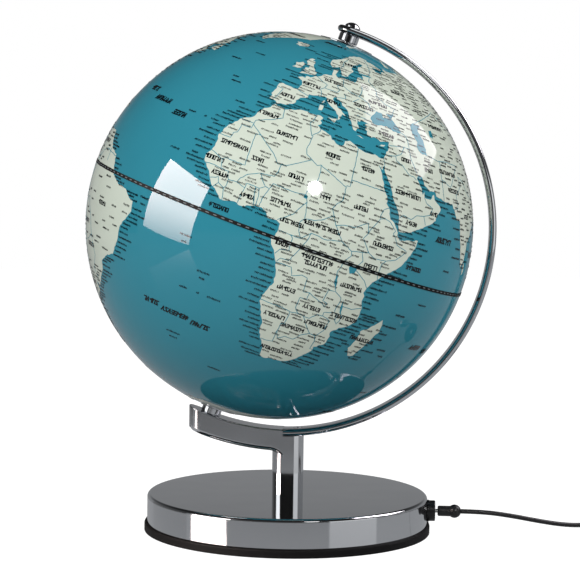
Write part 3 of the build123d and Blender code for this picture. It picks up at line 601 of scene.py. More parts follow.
class Bench:
    """One new mesh on the bench, worked with the modelling tools."""

    EDGE_WELD = 0.004 * MM
    RING_WELD = 0.001 * MM
    SHARP = 35.0
    FLAT_WEIGHT = 100

    def __init__(self, obj: Object, name: str) -> None:
        """Takes an object up and names it.

        Args:
            obj: the object, with its mesh.
            name: the piece's name.
        """
        self.obj = obj
        obj.name = name
        obj.data.name = name

    @classmethod
    def primitive(cls, name: str, add: Callable[..., object], **sizes: object) -> "Bench":
        """Starts from a primitive.

        Args:
            name: the piece's name.
            add: the operator that adds the primitive.
            **sizes: its sizes and place.

        Returns:
            The piece on the bench.
        """
        bpy.ops.object.select_all(action="DESELECT")
        add(**sizes)
        return cls(bpy.context.object, name)

    @classmethod
    def flat(cls, name: str, verts: Sequence[Point], faces: Sequence[Sequence[int]]) -> "Bench":
        """Starts from drawn outlines.

        Args:
            name: the piece's name.
            verts: the corners.
            faces: the corner numbers of each outline.

        Returns:
            The piece on the bench.
        """
        mesh = bpy.data.meshes.new(name)
        mesh.from_pydata(verts, [], faces)
        return cls(add_object(name, mesh), name)

    @classmethod
    def outline(cls, name: str, corners: Sequence[Sequence[float]]) -> "Bench":
        """Starts from one drawn outline, given by its corners."""
        return cls.flat(name, corners, [range(len(corners))])

    def take(self) -> None:
        """Makes this piece the only one selected."""
        bpy.ops.object.select_all(action="DESELECT")
        self.obj.select_set(True)
        bpy.context.view_layer.objects.active = self.obj

    def open(self) -> None:
        """Goes into edit mode with everything selected."""
        self.take()
        bpy.ops.object.mode_set(mode="EDIT")
        bpy.ops.mesh.select_all(action="SELECT")

    @staticmethod
    def close() -> None:
        """Leaves edit mode."""
        bpy.ops.object.mode_set(mode="OBJECT")

    @staticmethod
    def cut(
        at: Sequence[float], along: Sequence[float], inner: bool = False, outer: bool = False
    ) -> None:
        """Cuts everything by a plane, in edit mode, and clears what is behind or before it."""
        bpy.ops.mesh.select_all(action="SELECT")
        bpy.ops.mesh.bisect(plane_co=at, plane_no=along, clear_inner=inner, clear_outer=outer)

    def pick(self, wanted: Callable[[bpy.types.MeshPolygon], bool]) -> None:
        """Goes into edit mode with only some faces selected.

        Args:
            wanted: says of a face whether it is selected.
        """
        self.open()
        bpy.ops.mesh.select_all(action="DESELECT")
        bpy.ops.mesh.select_mode(type="FACE")
        self.close()
        for face in self.obj.data.polygons:
            face.select = wanted(face)
        bpy.ops.object.mode_set(mode="EDIT")

    def apply(self, kind: str, **settings: object) -> None:
        """Adds a modifier and applies it.

        Args:
            kind: the modifier's type.
            **settings: its properties.
        """
        self.take()
        modifier = self.obj.modifiers.new(kind.lower(), kind)
        for name, value in settings.items():
            setattr(modifier, name, value)
        bpy.ops.object.modifier_apply(modifier=modifier.name)

    def extrude(self, way: Sequence[float]) -> None:
        """Draws a flat outline out to a solid.

        Args:
            way: how far and which way it goes.
        """
        self.open()
        bpy.ops.mesh.extrude_region_move(TRANSFORM_OT_translate={"value": way})
        bpy.ops.mesh.select_all(action="SELECT")
        bpy.ops.mesh.normals_make_consistent(inside=False)
        self.close()

    def spin(
        self,
        steps: int,
        angle: float,
        centre: Sequence[float],
        axis: Sequence[float],
        ring: bool = False,
    ) -> None:
        """Sweeps a flat outline round an axis.

        Args:
            steps: how many pieces the sweep has.
            angle: how far it goes, in radians.
            centre: a point of the axis.
            axis: the axis's direction.
            ring: whether the sweep closes on itself, so that its ends are welded.
        """
        self.open()
        if ring:
            bpy.ops.mesh.delete(type="ONLY_FACE")
            bpy.ops.mesh.select_all(action="SELECT")
        bpy.ops.mesh.spin(steps=steps, angle=angle, center=centre, axis=axis)
        bpy.ops.mesh.select_all(action="SELECT")
        if ring:
            bpy.ops.mesh.remove_doubles(threshold=self.RING_WELD)
        bpy.ops.mesh.normals_make_consistent(inside=False)
        self.close()

    def join(self, *others: "Bench") -> None:
        """Takes other pieces into this one.

        Args:
            *others: the pieces, which are used up.
        """
        self.take()
        for other in others:
            other.obj.select_set(True)
        bpy.ops.object.join()

    def combine(self, tool: "Bench", operation: str) -> None:
        """Combines this solid with another one, which is used up."""
        self.apply("BOOLEAN", object=tool.obj, operation=operation, solver="EXACT")
        bpy.data.objects.remove(tool.obj)

    def drill(
        self,
        radius: float,
        depth: float,
        at: Sequence[float],
        turn: Sequence[float] = (0, 0, 0),
        sides: int = 48,
    ) -> None:
        """Cuts a round hole.

        Args:
            radius: the hole's radius.
            depth: the drill's length.
            at: the drill's middle.
            turn: the drill's angles about X, Y and Z, from upright.
            sides: how many faces the hole has.
        """
        tool = Bench.primitive(
            "drill",
            bpy.ops.mesh.primitive_cylinder_add,
            vertices=sides,
            radius=radius,
            depth=depth,
            location=at,
            rotation=turn,
        )
        self.combine(tool, "DIFFERENCE")

    def round_edges(self, width: float, wanted: Callable[[Vector], bool], steps: int = 4) -> None:
        """Rounds sharp edges.

        Args:
            width: how wide the rounding is.
            wanted: says of an edge's middle, in millimetres, whether it is rounded.
            steps: how many faces the rounding has.
        """
        self.open()
        bpy.ops.mesh.remove_doubles(threshold=self.EDGE_WELD)
        bpy.ops.mesh.normals_make_consistent(inside=False)
        bpy.ops.mesh.select_mode(type="EDGE")
        bpy.ops.mesh.select_all(action="DESELECT")
        bpy.ops.mesh.edges_select_sharp(sharpness=math.radians(self.SHARP))
        self.close()
        mesh = self.obj.data
        for edge in mesh.edges:
            ends = [mesh.vertices[number].co for number in edge.vertices]
            edge.select = edge.select and wanted((ends[0] + ends[1]) / 2 / MM)
        for part in (*mesh.vertices, *mesh.polygons):
            part.select = False
        bpy.ops.object.mode_set(mode="EDIT")
        bpy.ops.mesh.bevel(offset=width, segments=steps, affect="EDGES", clamp_overlap=False)
        self.close()

    def settle(self, turn: Sequence[float] = (0, 0, 0), place: Sequence[float] = (0, 0, 0)) -> None:
        """Turns and places the piece, and leaves its object at the origin.

        Args:
            turn: the angles about X, Y and Z.
            place: where the mesh's own origin goes.
        """
        self.take()
        self.obj.rotation_euler = turn
        self.obj.location = place
        bpy.ops.object.transform_apply(location=True, rotation=True, scale=True)

    def smooth(self, angle: float = 30.0, flats: bool = False) -> None:
        """Shades the piece smooth.

        Args:
            angle: the angle in degrees up to which edges are smooth.
            flats: whether large flat faces stay flat up to their edges.
        """
        self.take()
        bpy.ops.object.shade_smooth_by_angle(angle=math.radians(angle))
        if flats:
            self.apply("WEIGHTED_NORMAL", weight=self.FLAT_WEIGHT, keep_sharp=True)

    def hand_over(
        self, body: Body, slot: Slot, material: Material, nodes: Sequence[str] = ()
    ) -> Object:
        """Dresses the piece, ties it to the frame and reports it.

        Args:
            body: the body it rides on.
            slot: the slot its finish comes from; not used.
            material: its finish.
            nodes: the frame's nodes that it stands for.

        Returns:
            The finished object.
        """
        self.obj.data.materials.clear()
        self.obj.data.materials.append(material)
        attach(self.obj, body.value)
        if nodes:
            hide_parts(*nodes)
        LOG.info("%s: %d faces", self.obj.name, len(self.obj.data.polygons))
        return self.obj

    def only_in_gloss(self, material: Material) -> None:
        """Gives the piece its finish and hides it from camera, diffuse and shadow rays, so that only
        gloss sees it.

        Args:
            material: its finish.
        """
        self.obj.data.materials.append(material)
        self.obj.visible_camera = False
        self.obj.visible_diffuse = False
        self.obj.visible_shadow = False


@dataclass
class Panel:
    """A flat panel of the studio, placed by its middle and two of its axes, in metres."""

    name: str
    centre: Point
    across: Point
    upward: Point
    size: Place

    def stand(self) -> Matrix:
        """The panel's matrix, with the upward axis squared to the other.

        Returns:
            The matrix.
        """
        side = Vector(self.across).normalized()
        top = Vector(self.upward)
        return standing(self.centre, side, (top - side * top.dot(side)).normalized())


@dataclass
class Softbox(Panel):
    """A lamp panel, which is either seen in the gloss or only lights."""

    level: float
    mirrored: bool
    shape: str = "RECTANGLE"
    tint: Point = (1.0, 1.0, 1.0)

    def place(self) -> None:
        """Adds the lamp, which shines along its own back."""
        lamp = bpy.data.lights.new(self.name, "AREA")
        lamp.shape = self.shape
        lamp.size, lamp.size_y = self.size
        filled = math.pi / 4 if self.shape == "DISK" else 1.0
        lamp.energy = math.pi * self.size[0] * self.size[1] * filled * self.level
        lamp.color = self.tint
        obj = add_object(self.name, lamp)
        obj.matrix_world = self.stand()
        obj.visible_camera = False
        obj.visible_diffuse = not self.mirrored
        obj.visible_glossy = self.mirrored
        obj.visible_transmission = self.mirrored


@dataclass
class Card(Panel):
    """A panel with a run of tone over it, which only gloss sees."""

    tones: Sequence[Place]
    axis: str = "X"
    tint: Point = (1.0, 1.0, 1.0)

    def place(self) -> None:
        """Adds the panel and its run of tone."""
        card = Bench.primitive(self.name, bpy.ops.mesh.primitive_plane_add, size=1.0)
        card.obj.matrix_world = self.stand() @ Matrix.Diagonal((*self.size, 1.0, 1.0))
        material, graph = new_graph(self.name)
        share = graph.node("ShaderNodeSeparateXYZ", {}, {0: graph.spot()}, self.axis) + 0.5
        most = max(level for _, level in self.tones)
        stops = [
            (place, (*(level / most * part for part in self.tint), 1.0))
            for place, level in self.tones
        ]
        graph.glow(share, stops, most)
        card.only_in_gloss(material)


@dataclass
class Studio:
    """The camera, the lamps, the pale floor and the grey walls that metal mirrors, in metres."""

    eye: Point = (0.06713, -1.23781, 0.24978)
    right: Point = (0.99838, 0.05526, 0.01373)
    up: Point = (-0.0178, 0.07394, 0.9971)
    lens: float = 118.7
    sensor: float = 36.0
    nearest: float = 0.01
    daylight: float = 0.32
    floor_size: float = 5.0
    floor_drop: float = 0.2 * MM
    floor_paper: Colour = (0.3, 0.3, 0.3, 1.0)
    floor_lift: float = 0.93
    floor_tone: Colour = (0.38, 0.388, 0.402, 1.0)
    sheen_ior: float = 1.5
    sheen_gain: float = 6.5
    sheen_polish: float = 0.02
    sheen_haze: float = 0.3
    sheen_clear: float = 0.25
    wall_radius: float = 3.0
    wall_foot: float = -0.3
    wall_levels: Sequence[Place] = ((0.0, 0.25), (0.17, 0.25), (0.35, 0.08), (0.6, 0.02))
    wall_tint: Point = (1.0, 1.02, 1.05)
    window_at: Point = (-0.9343, -0.5776, 0.4143)
    pane_at: Point = (-0.9085, -0.5633, 0.4087)  # the dimmer twins, just before the window
    window_across: Point = (0.4216, -0.8665, -0.2674)
    window_upward: Point = (0.2897, -0.1507, 0.9452)
    window_size: Place = (0.649, 0.644)
    spot_at: Point = (0.5197, -1.1991, 0.7486)
    spot_across: Point = (0.9, 0.42, 0.0)
    spot_upward: Point = (-0.17, 0.37, 0.91)

    def camera(self) -> None:
        """Adds the camera of the photograph."""
        lens = bpy.data.cameras.new("photo_camera")
        lens.sensor_width = self.sensor
        lens.lens = self.lens
        lens.clip_start = self.nearest
        obj = add_object("photo_camera", lens)
        obj.matrix_world = standing(self.eye, Vector(self.right), Vector(self.up))
        bpy.context.scene.camera = obj

    def world(self) -> None:
        """White to the camera and to gloss, and plain daylight to everything else."""
        world = bpy.data.worlds.new("studio_world")
        world.use_nodes = True
        bpy.context.scene.world = world
        graph = Graph(world.node_tree)
        rays = graph.rays("Is Camera Ray", "Is Glossy Ray", "Is Transmission Ray")
        seen = (rays[0] + rays[1] + rays[2]) > 0.5
        level = self.daylight + (1.0 - self.daylight) * seen
        white = graph.node("ShaderNodeBackground", {}, {"Color": WHITE, "Strength": level})
        graph.node("ShaderNodeOutputWorld", {}, {"Surface": white})

    def floor(self) -> None:
        """Adds the pale table top, which keeps the shadow and turns grey in the metal.

        Gloss sees a grey glow under a sheen, which only shows where it is seen at a low angle.
        """
        add = bpy.ops.mesh.primitive_plane_add
        floor = Bench.primitive("studio_floor", add, size=self.floor_size)
        material, graph = new_graph("studio_floor")
        camera, glossy = graph.rays("Is Camera Ray", "Is Glossy Ray")
        paper = graph.node("ShaderNodeBsdfDiffuse", {}, {"Color": self.floor_paper})
        light = {"Color": WHITE, "Strength": camera * self.floor_lift}
        lift = graph.node("ShaderNodeEmission", {}, light)
        pale = graph.node("ShaderNodeAddShader", {}, {0: paper, 1: lift})
        tone = graph.node("ShaderNodeEmission", {}, {"Color": self.floor_tone})
        slant = graph.node("ShaderNodeFresnel", {}, {"IOR": self.sheen_ior})
        steep = (1.0 - 1.0 / self.sheen_clear * slant) * (slant < self.sheen_clear)
        blur = self.sheen_polish + self.sheen_haze * steep
        sheen = graph.node("ShaderNodeBsdfGlossy", {}, {"Color": WHITE, "Roughness": blur})
        share = slant * slant * slant * self.sheen_gain
        grey = graph.node("ShaderNodeMixShader", {}, {0: share, 1: tone, 2: sheen})
        graph.end(graph.node("ShaderNodeMixShader", {}, {0: glossy, 1: pale, 2: grey}))
        floor.obj.data.materials.append(material)
        floor.obj.location.z = -self.floor_drop

    def walls(self) -> None:
        """Adds the studio's grey walls, which only gloss sees."""
        wall = Bench.primitive(
            "studio_walls",
            bpy.ops.mesh.primitive_uv_sphere_add,
            segments=48,
            ring_count=24,
            radius=self.wall_radius,
        )
        wall.open()
        wall.cut((0, 0, self.wall_foot), (0, 0, 1), inner=True)
        wall.close()
        wall.smooth()
        material, graph = new_graph("studio_walls")
        height = graph.node("ShaderNodeSeparateXYZ", {}, {0: graph.spot()}, "Z")
        run = {0: height, 1: 0.0, 2: self.wall_radius, 3: 0.0, 4: 1.0}
        stops = [
            (place, (*(level * part for part in self.wall_tint), 1.0))
            for place, level in self.wall_levels
        ]
        graph.glow(graph.node("ShaderNodeMapRange", {}, run), stops, 1.0)
        wall.only_in_gloss(material)

    def panels(self) -> List[Union[Card, Softbox]]:
        """The cards and lamps: those that the gloss mirrors, and those that only light.

        Returns:
            The panels, not placed yet.
        """
        level_x, level_y, upright = (1.0, 0.0, 0.0), (0.0, 1.0, 0.0), (0.0, 0.0, 1.0)
        window = (self.window_across, self.window_upward, self.window_size)
        spot = (self.spot_at, self.spot_across, self.spot_upward)
        return [
            Card("dark_flag", (-0.42, -1.7, 0.36), level_x, upright, (3.32, 0.56),
                 ((0.0, 0.2), (0.22, 0.012), (0.75, 0.012), (1.0, 0.1)), "Y"),
            Card("left_window", self.window_at, *window,
                 ((0.0, 8.0), (0.45, 20.0), (1.0, 25.0)), "Y", (1.0, 0.84, 0.79)),
            Card("left_flag", (-1.9, 0.9, 0.36), level_y, upright, (2.2, 0.56),
                 ((0.0, 0.03), (1.0, 0.15))),
            Softbox("left_panel", (-0.889, -0.556, 0.15), (0.4373, -0.8993, 0.0), upright,
                    (0.66, 0.2), 8.0, True, tint=(1.0, 0.9, 0.88)),
            Softbox("left_pane", self.pane_at, *window, 1.7, True),
            Softbox("spot_pane", *spot, (0.2, 0.2), 2.5, True, "DISK"),
            Softbox("band_pane", (0.62, -0.25, 1.3), (0.42, 0.91, 0.0), (-0.783, 0.361, 0.525),
                    (0.9, 0.75), 1.2, True),
            Softbox("left_veil", self.pane_at, *window, 0.25, True),
            Softbox("right_window", (0.942, 0.2994, 0.99), (-0.4164, 0.9053, 0.0844),
                    (-0.5351, -0.319, 0.7822), (0.673, 0.809), 4.6, True, tint=(1.0, 0.93, 0.99)),
            Softbox("spot_lamp", *spot, (0.2, 0.2), 45.0, True, "DISK"),
            Softbox("spot_halo", *spot, (0.3, 0.3), 3.5, True, "DISK"),
            Softbox("right_card", (0.95, -0.62, 0.24), (0.55, 0.84, 0.0), upright,
                    (0.85, 0.36), 0.62, True),
            Softbox("right_glow", (1.25, 0.3, 0.55), (-0.23, 0.97, 0.0), (-0.26, -0.06, 0.96),
                    (0.9, 0.8), 3.0, False),
            Softbox("key_lamp", (-0.75, -1.45, 0.8), (0.89, -0.46, 0.0), (0.2, 0.38, 0.9),
                    (1.2, 1.2), 4.4, False),
            Softbox("fill_lamp", (1.2, -0.9, 1.1), (0.6, 0.8, 0.0), (-0.5, 0.37, 0.78),
                    (1.0, 1.0), 2.0, False),
        ]

    @staticmethod
    def dim_for_metal(
        drum: Object, band: Object, others: Sequence[Object]
    ) -> None:
        """Gives the chrome dimmer lamps than the ball's thin gloss, so that no glint outshines it.

        Args:
            drum: the base's drum, whose top mirrors only a low strip of the left window.
            band: the meridian band.
            others: the rest of the chrome.
        """
        metal = [drum, band, *others]
        rows = {
            "left_window": ("EXCLUDE", metal),
            "spot_lamp": ("EXCLUDE", metal),
            "left_pane": ("INCLUDE", [band, *others]),
            "spot_pane": ("INCLUDE", metal),
            "band_pane": ("INCLUDE", [band]),
            "left_panel": ("INCLUDE", [drum]),
            "left_veil": ("INCLUDE", [drum]),
        }
        for name, (state, pieces) in rows.items():
            group = bpy.data.collections.new(name)
            for piece in pieces:
                group.objects.link(piece)
            for entry in group.collection_objects:
                entry.light_linking.link_state = state
            bpy.data.objects[name].light_linking.receiver_collection = group

    def build(self) -> None:
        """Sets the whole studio up."""
        self.camera()
        self.world()
        self.floor()
        self.walls()
        for panel in self.panels():
            panel.place()
        bpy.context.scene.view_settings.view_transform = "Standard"
        LOG.info("studio: camera, floor, walls and lamps")


@dataclass
class Lead:
    """The thin lead from the drum to its coil, with the tie, in millimetres."""

    exit: Point = (113.26, 0.0, SOCKET_HEIGHT)
    route: Sequence[Point] = (
        (127.86, 0.0, SOCKET_HEIGHT), (145.86, 3.6, 11.3), (164.86, 10.0, 6.9), (181.86, 18.5, 3.1),
        (196.86, 26.5, 1.6), (206.36, 36.5, 2.05), (209.86, 49.0, 2.05),
    )
    ahead: Point = (0.26963, 0.96296, 0.0)
    aside: Point = (0.96296, -0.26963, 0.0)
    diameter: float = 3.0
    length: float = 1423.0
    outer_radius: float = 28.5
    step: float = 1.75
    lower_turns: int = 12
    upper_turns: int = 10
    climb_radius: float = 7.5
    rise: float = 3.5
    tail: float = 29.75
    per_half: int = 12
    curve_steps: int = 6
    bevel_steps: int = 5
    start_straight: float = 3.0
    tie_radial: Place = (5.15, 28.3)
    tie_height: Place = (0.5, 7.1)
    tie_width: float = 8.0
    tie_thick: float = 0.5
    tie_corner: float = 1.5
    tie_faces: int = 5
    tie_edge: float = 0.12

    def half_turn(self, points: List[Vector], radius: float, way: float, climb: float = 0.0) -> None:
        """Adds the control points of one half turn.

        Args:
            points: the line so far, which grows.
            radius: the half turn's radius.
            way: one for a turn that starts ahead, minus one for one that comes back.
            climb: how far the half turn rises.
        """
        ahead, aside = Vector(self.ahead), Vector(self.aside)
        start = points[-1].copy()
        spread = 1.0 / math.cos(math.pi / (2 * self.per_half))
        for number in range(self.per_half):
            turn = math.pi * (number + 0.5) / self.per_half
            sweep = aside * (1 - spread * math.cos(turn)) + ahead * (spread * math.sin(turn))
            lift = Vector((0, 0, climb * (number + 0.5) / self.per_half))
            points.append(start + sweep * (radius * way) + lift)
        points.append(start + aside * (2 * radius * way) + Vector((0, 0, climb)))

    def line(self) -> List[Vector]:
        """Draws the whole lead: the seen part, the coil's two layers and the tail.

        Returns:
            The control points, in millimetres.
        """
        ahead = Vector(self.ahead)
        points = [Vector(self.exit)] + [Vector(point) for point in self.route]
        points.append(points[-1] + ahead * self.start_straight)
        way = 1.0
        for number in range(self.lower_turns):
            self.half_turn(points, self.outer_radius - self.step * number, way)
            way = -way
        self.half_turn(points, self.climb_radius, way, self.rise)
        way = -way
        for number in range(self.upper_turns):
            inner = self.outer_radius - self.step * (self.lower_turns - 1 - number)
            self.half_turn(points, inner, way)
            way = -way
        points.append(points[-1] - ahead * (self.tail / 2))
        points.append(points[-1] - ahead * (self.tail / 2))
        return points

    def cord(self, material: Material) -> Object:
        """Makes the lead as one smooth line.

        Args:
            material: the jacket's finish.

        Returns:
            The lead.
        """
        curve = bpy.data.curves.new("lead", "CURVE")
        curve.dimensions = "3D"
        curve.resolution_u = self.curve_steps
        curve.bevel_depth = self.diameter / 2 * MM
        curve.bevel_resolution = self.bevel_steps
        curve.use_fill_caps = True
        points = self.line()
        spline = curve.splines.new("NURBS")
        spline.points.add(len(points) - 1)
        for spot, point in zip(spline.points, points):
            spot.co = (*(point * MM), 1.0)
        spline.order_u = 3
        spline.use_endpoint_u = True
        obj = add_object("lead", curve)
        curve.materials.append(material)
        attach(obj, Body.STAND.value)
        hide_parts("lead_run", "lead_coil")
        return obj

    def tie(self, material: Material) -> Object:
        """Makes the strap round the coil's turns.

        Args:
            material: the strap's finish.

        Returns:
            The strap.
        """
        ahead, aside = Vector(self.ahead), Vector(self.aside)
        start = Vector(self.route[-1]) + ahead * self.start_straight + aside * self.outer_radius
        near, far = self.tie_radial
        low, high = self.tie_height
        size = (self.tie_width * MM, (far - near) * MM, (high - low) * MM)
        bench = Bench.primitive("lead_strap", bpy.ops.mesh.primitive_cube_add, size=1.0, scale=size)
        bench.settle()
        bench.pick(lambda face: abs(face.normal.x) > ALONG)
        bpy.ops.mesh.delete(type="FACE")
        bpy.ops.mesh.select_mode(type="EDGE")
        bench.close()
        for edge in bench.obj.data.edges:
            ends = [bench.obj.data.vertices[number].co for number in edge.vertices]
            edge.select = abs(ends[0].x - ends[1].x) > self.tie_width * MM * ALONG
        bpy.ops.object.mode_set(mode="EDIT")
        bpy.ops.mesh.bevel(offset=self.tie_corner * MM, segments=self.tie_faces, affect="EDGES")
        bench.close()
        bench.apply("SOLIDIFY", thickness=self.tie_thick * MM, offset=1.0)
        bench.apply("BEVEL", width=self.tie_edge * MM, segments=2, limit_method="ANGLE")
        side = self._tie_side(start) * (near + far) / 2
        middle = Vector((start.x + side.x, start.y + side.y, (low + high) / 2)) * MM
        bench.settle((0, 0, math.atan2(ahead.y, ahead.x)), middle)
        bench.smooth(40)
        return bench.hand_over(Body.STAND, Slot.TIE_STRAP, material, ["lead_tie"])

    def _tie_side(self, start: Vector) -> Vector:
        """The way from the coil's middle to the strap.

        Args:
            start: the coil's middle, in millimetres.

        Returns:
            A flat unit vector.
        """
        low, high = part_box("lead_tie")
        middle = (low + high) / 2 / MM
        return Vector((middle.x - start.x, middle.y - start.y, 0.0)).normalized()

    def build(self, finishes: Dict[Slot, Material]) -> None:
        """Args:
            finishes: the materials by slot.
        """
        lead = self.cord(finishes[Slot.LEAD_JACKET])
        strap = self.tie(finishes[Slot.TIE_STRAP])
        LOG.info("lead: %d control points", len(self.line()))


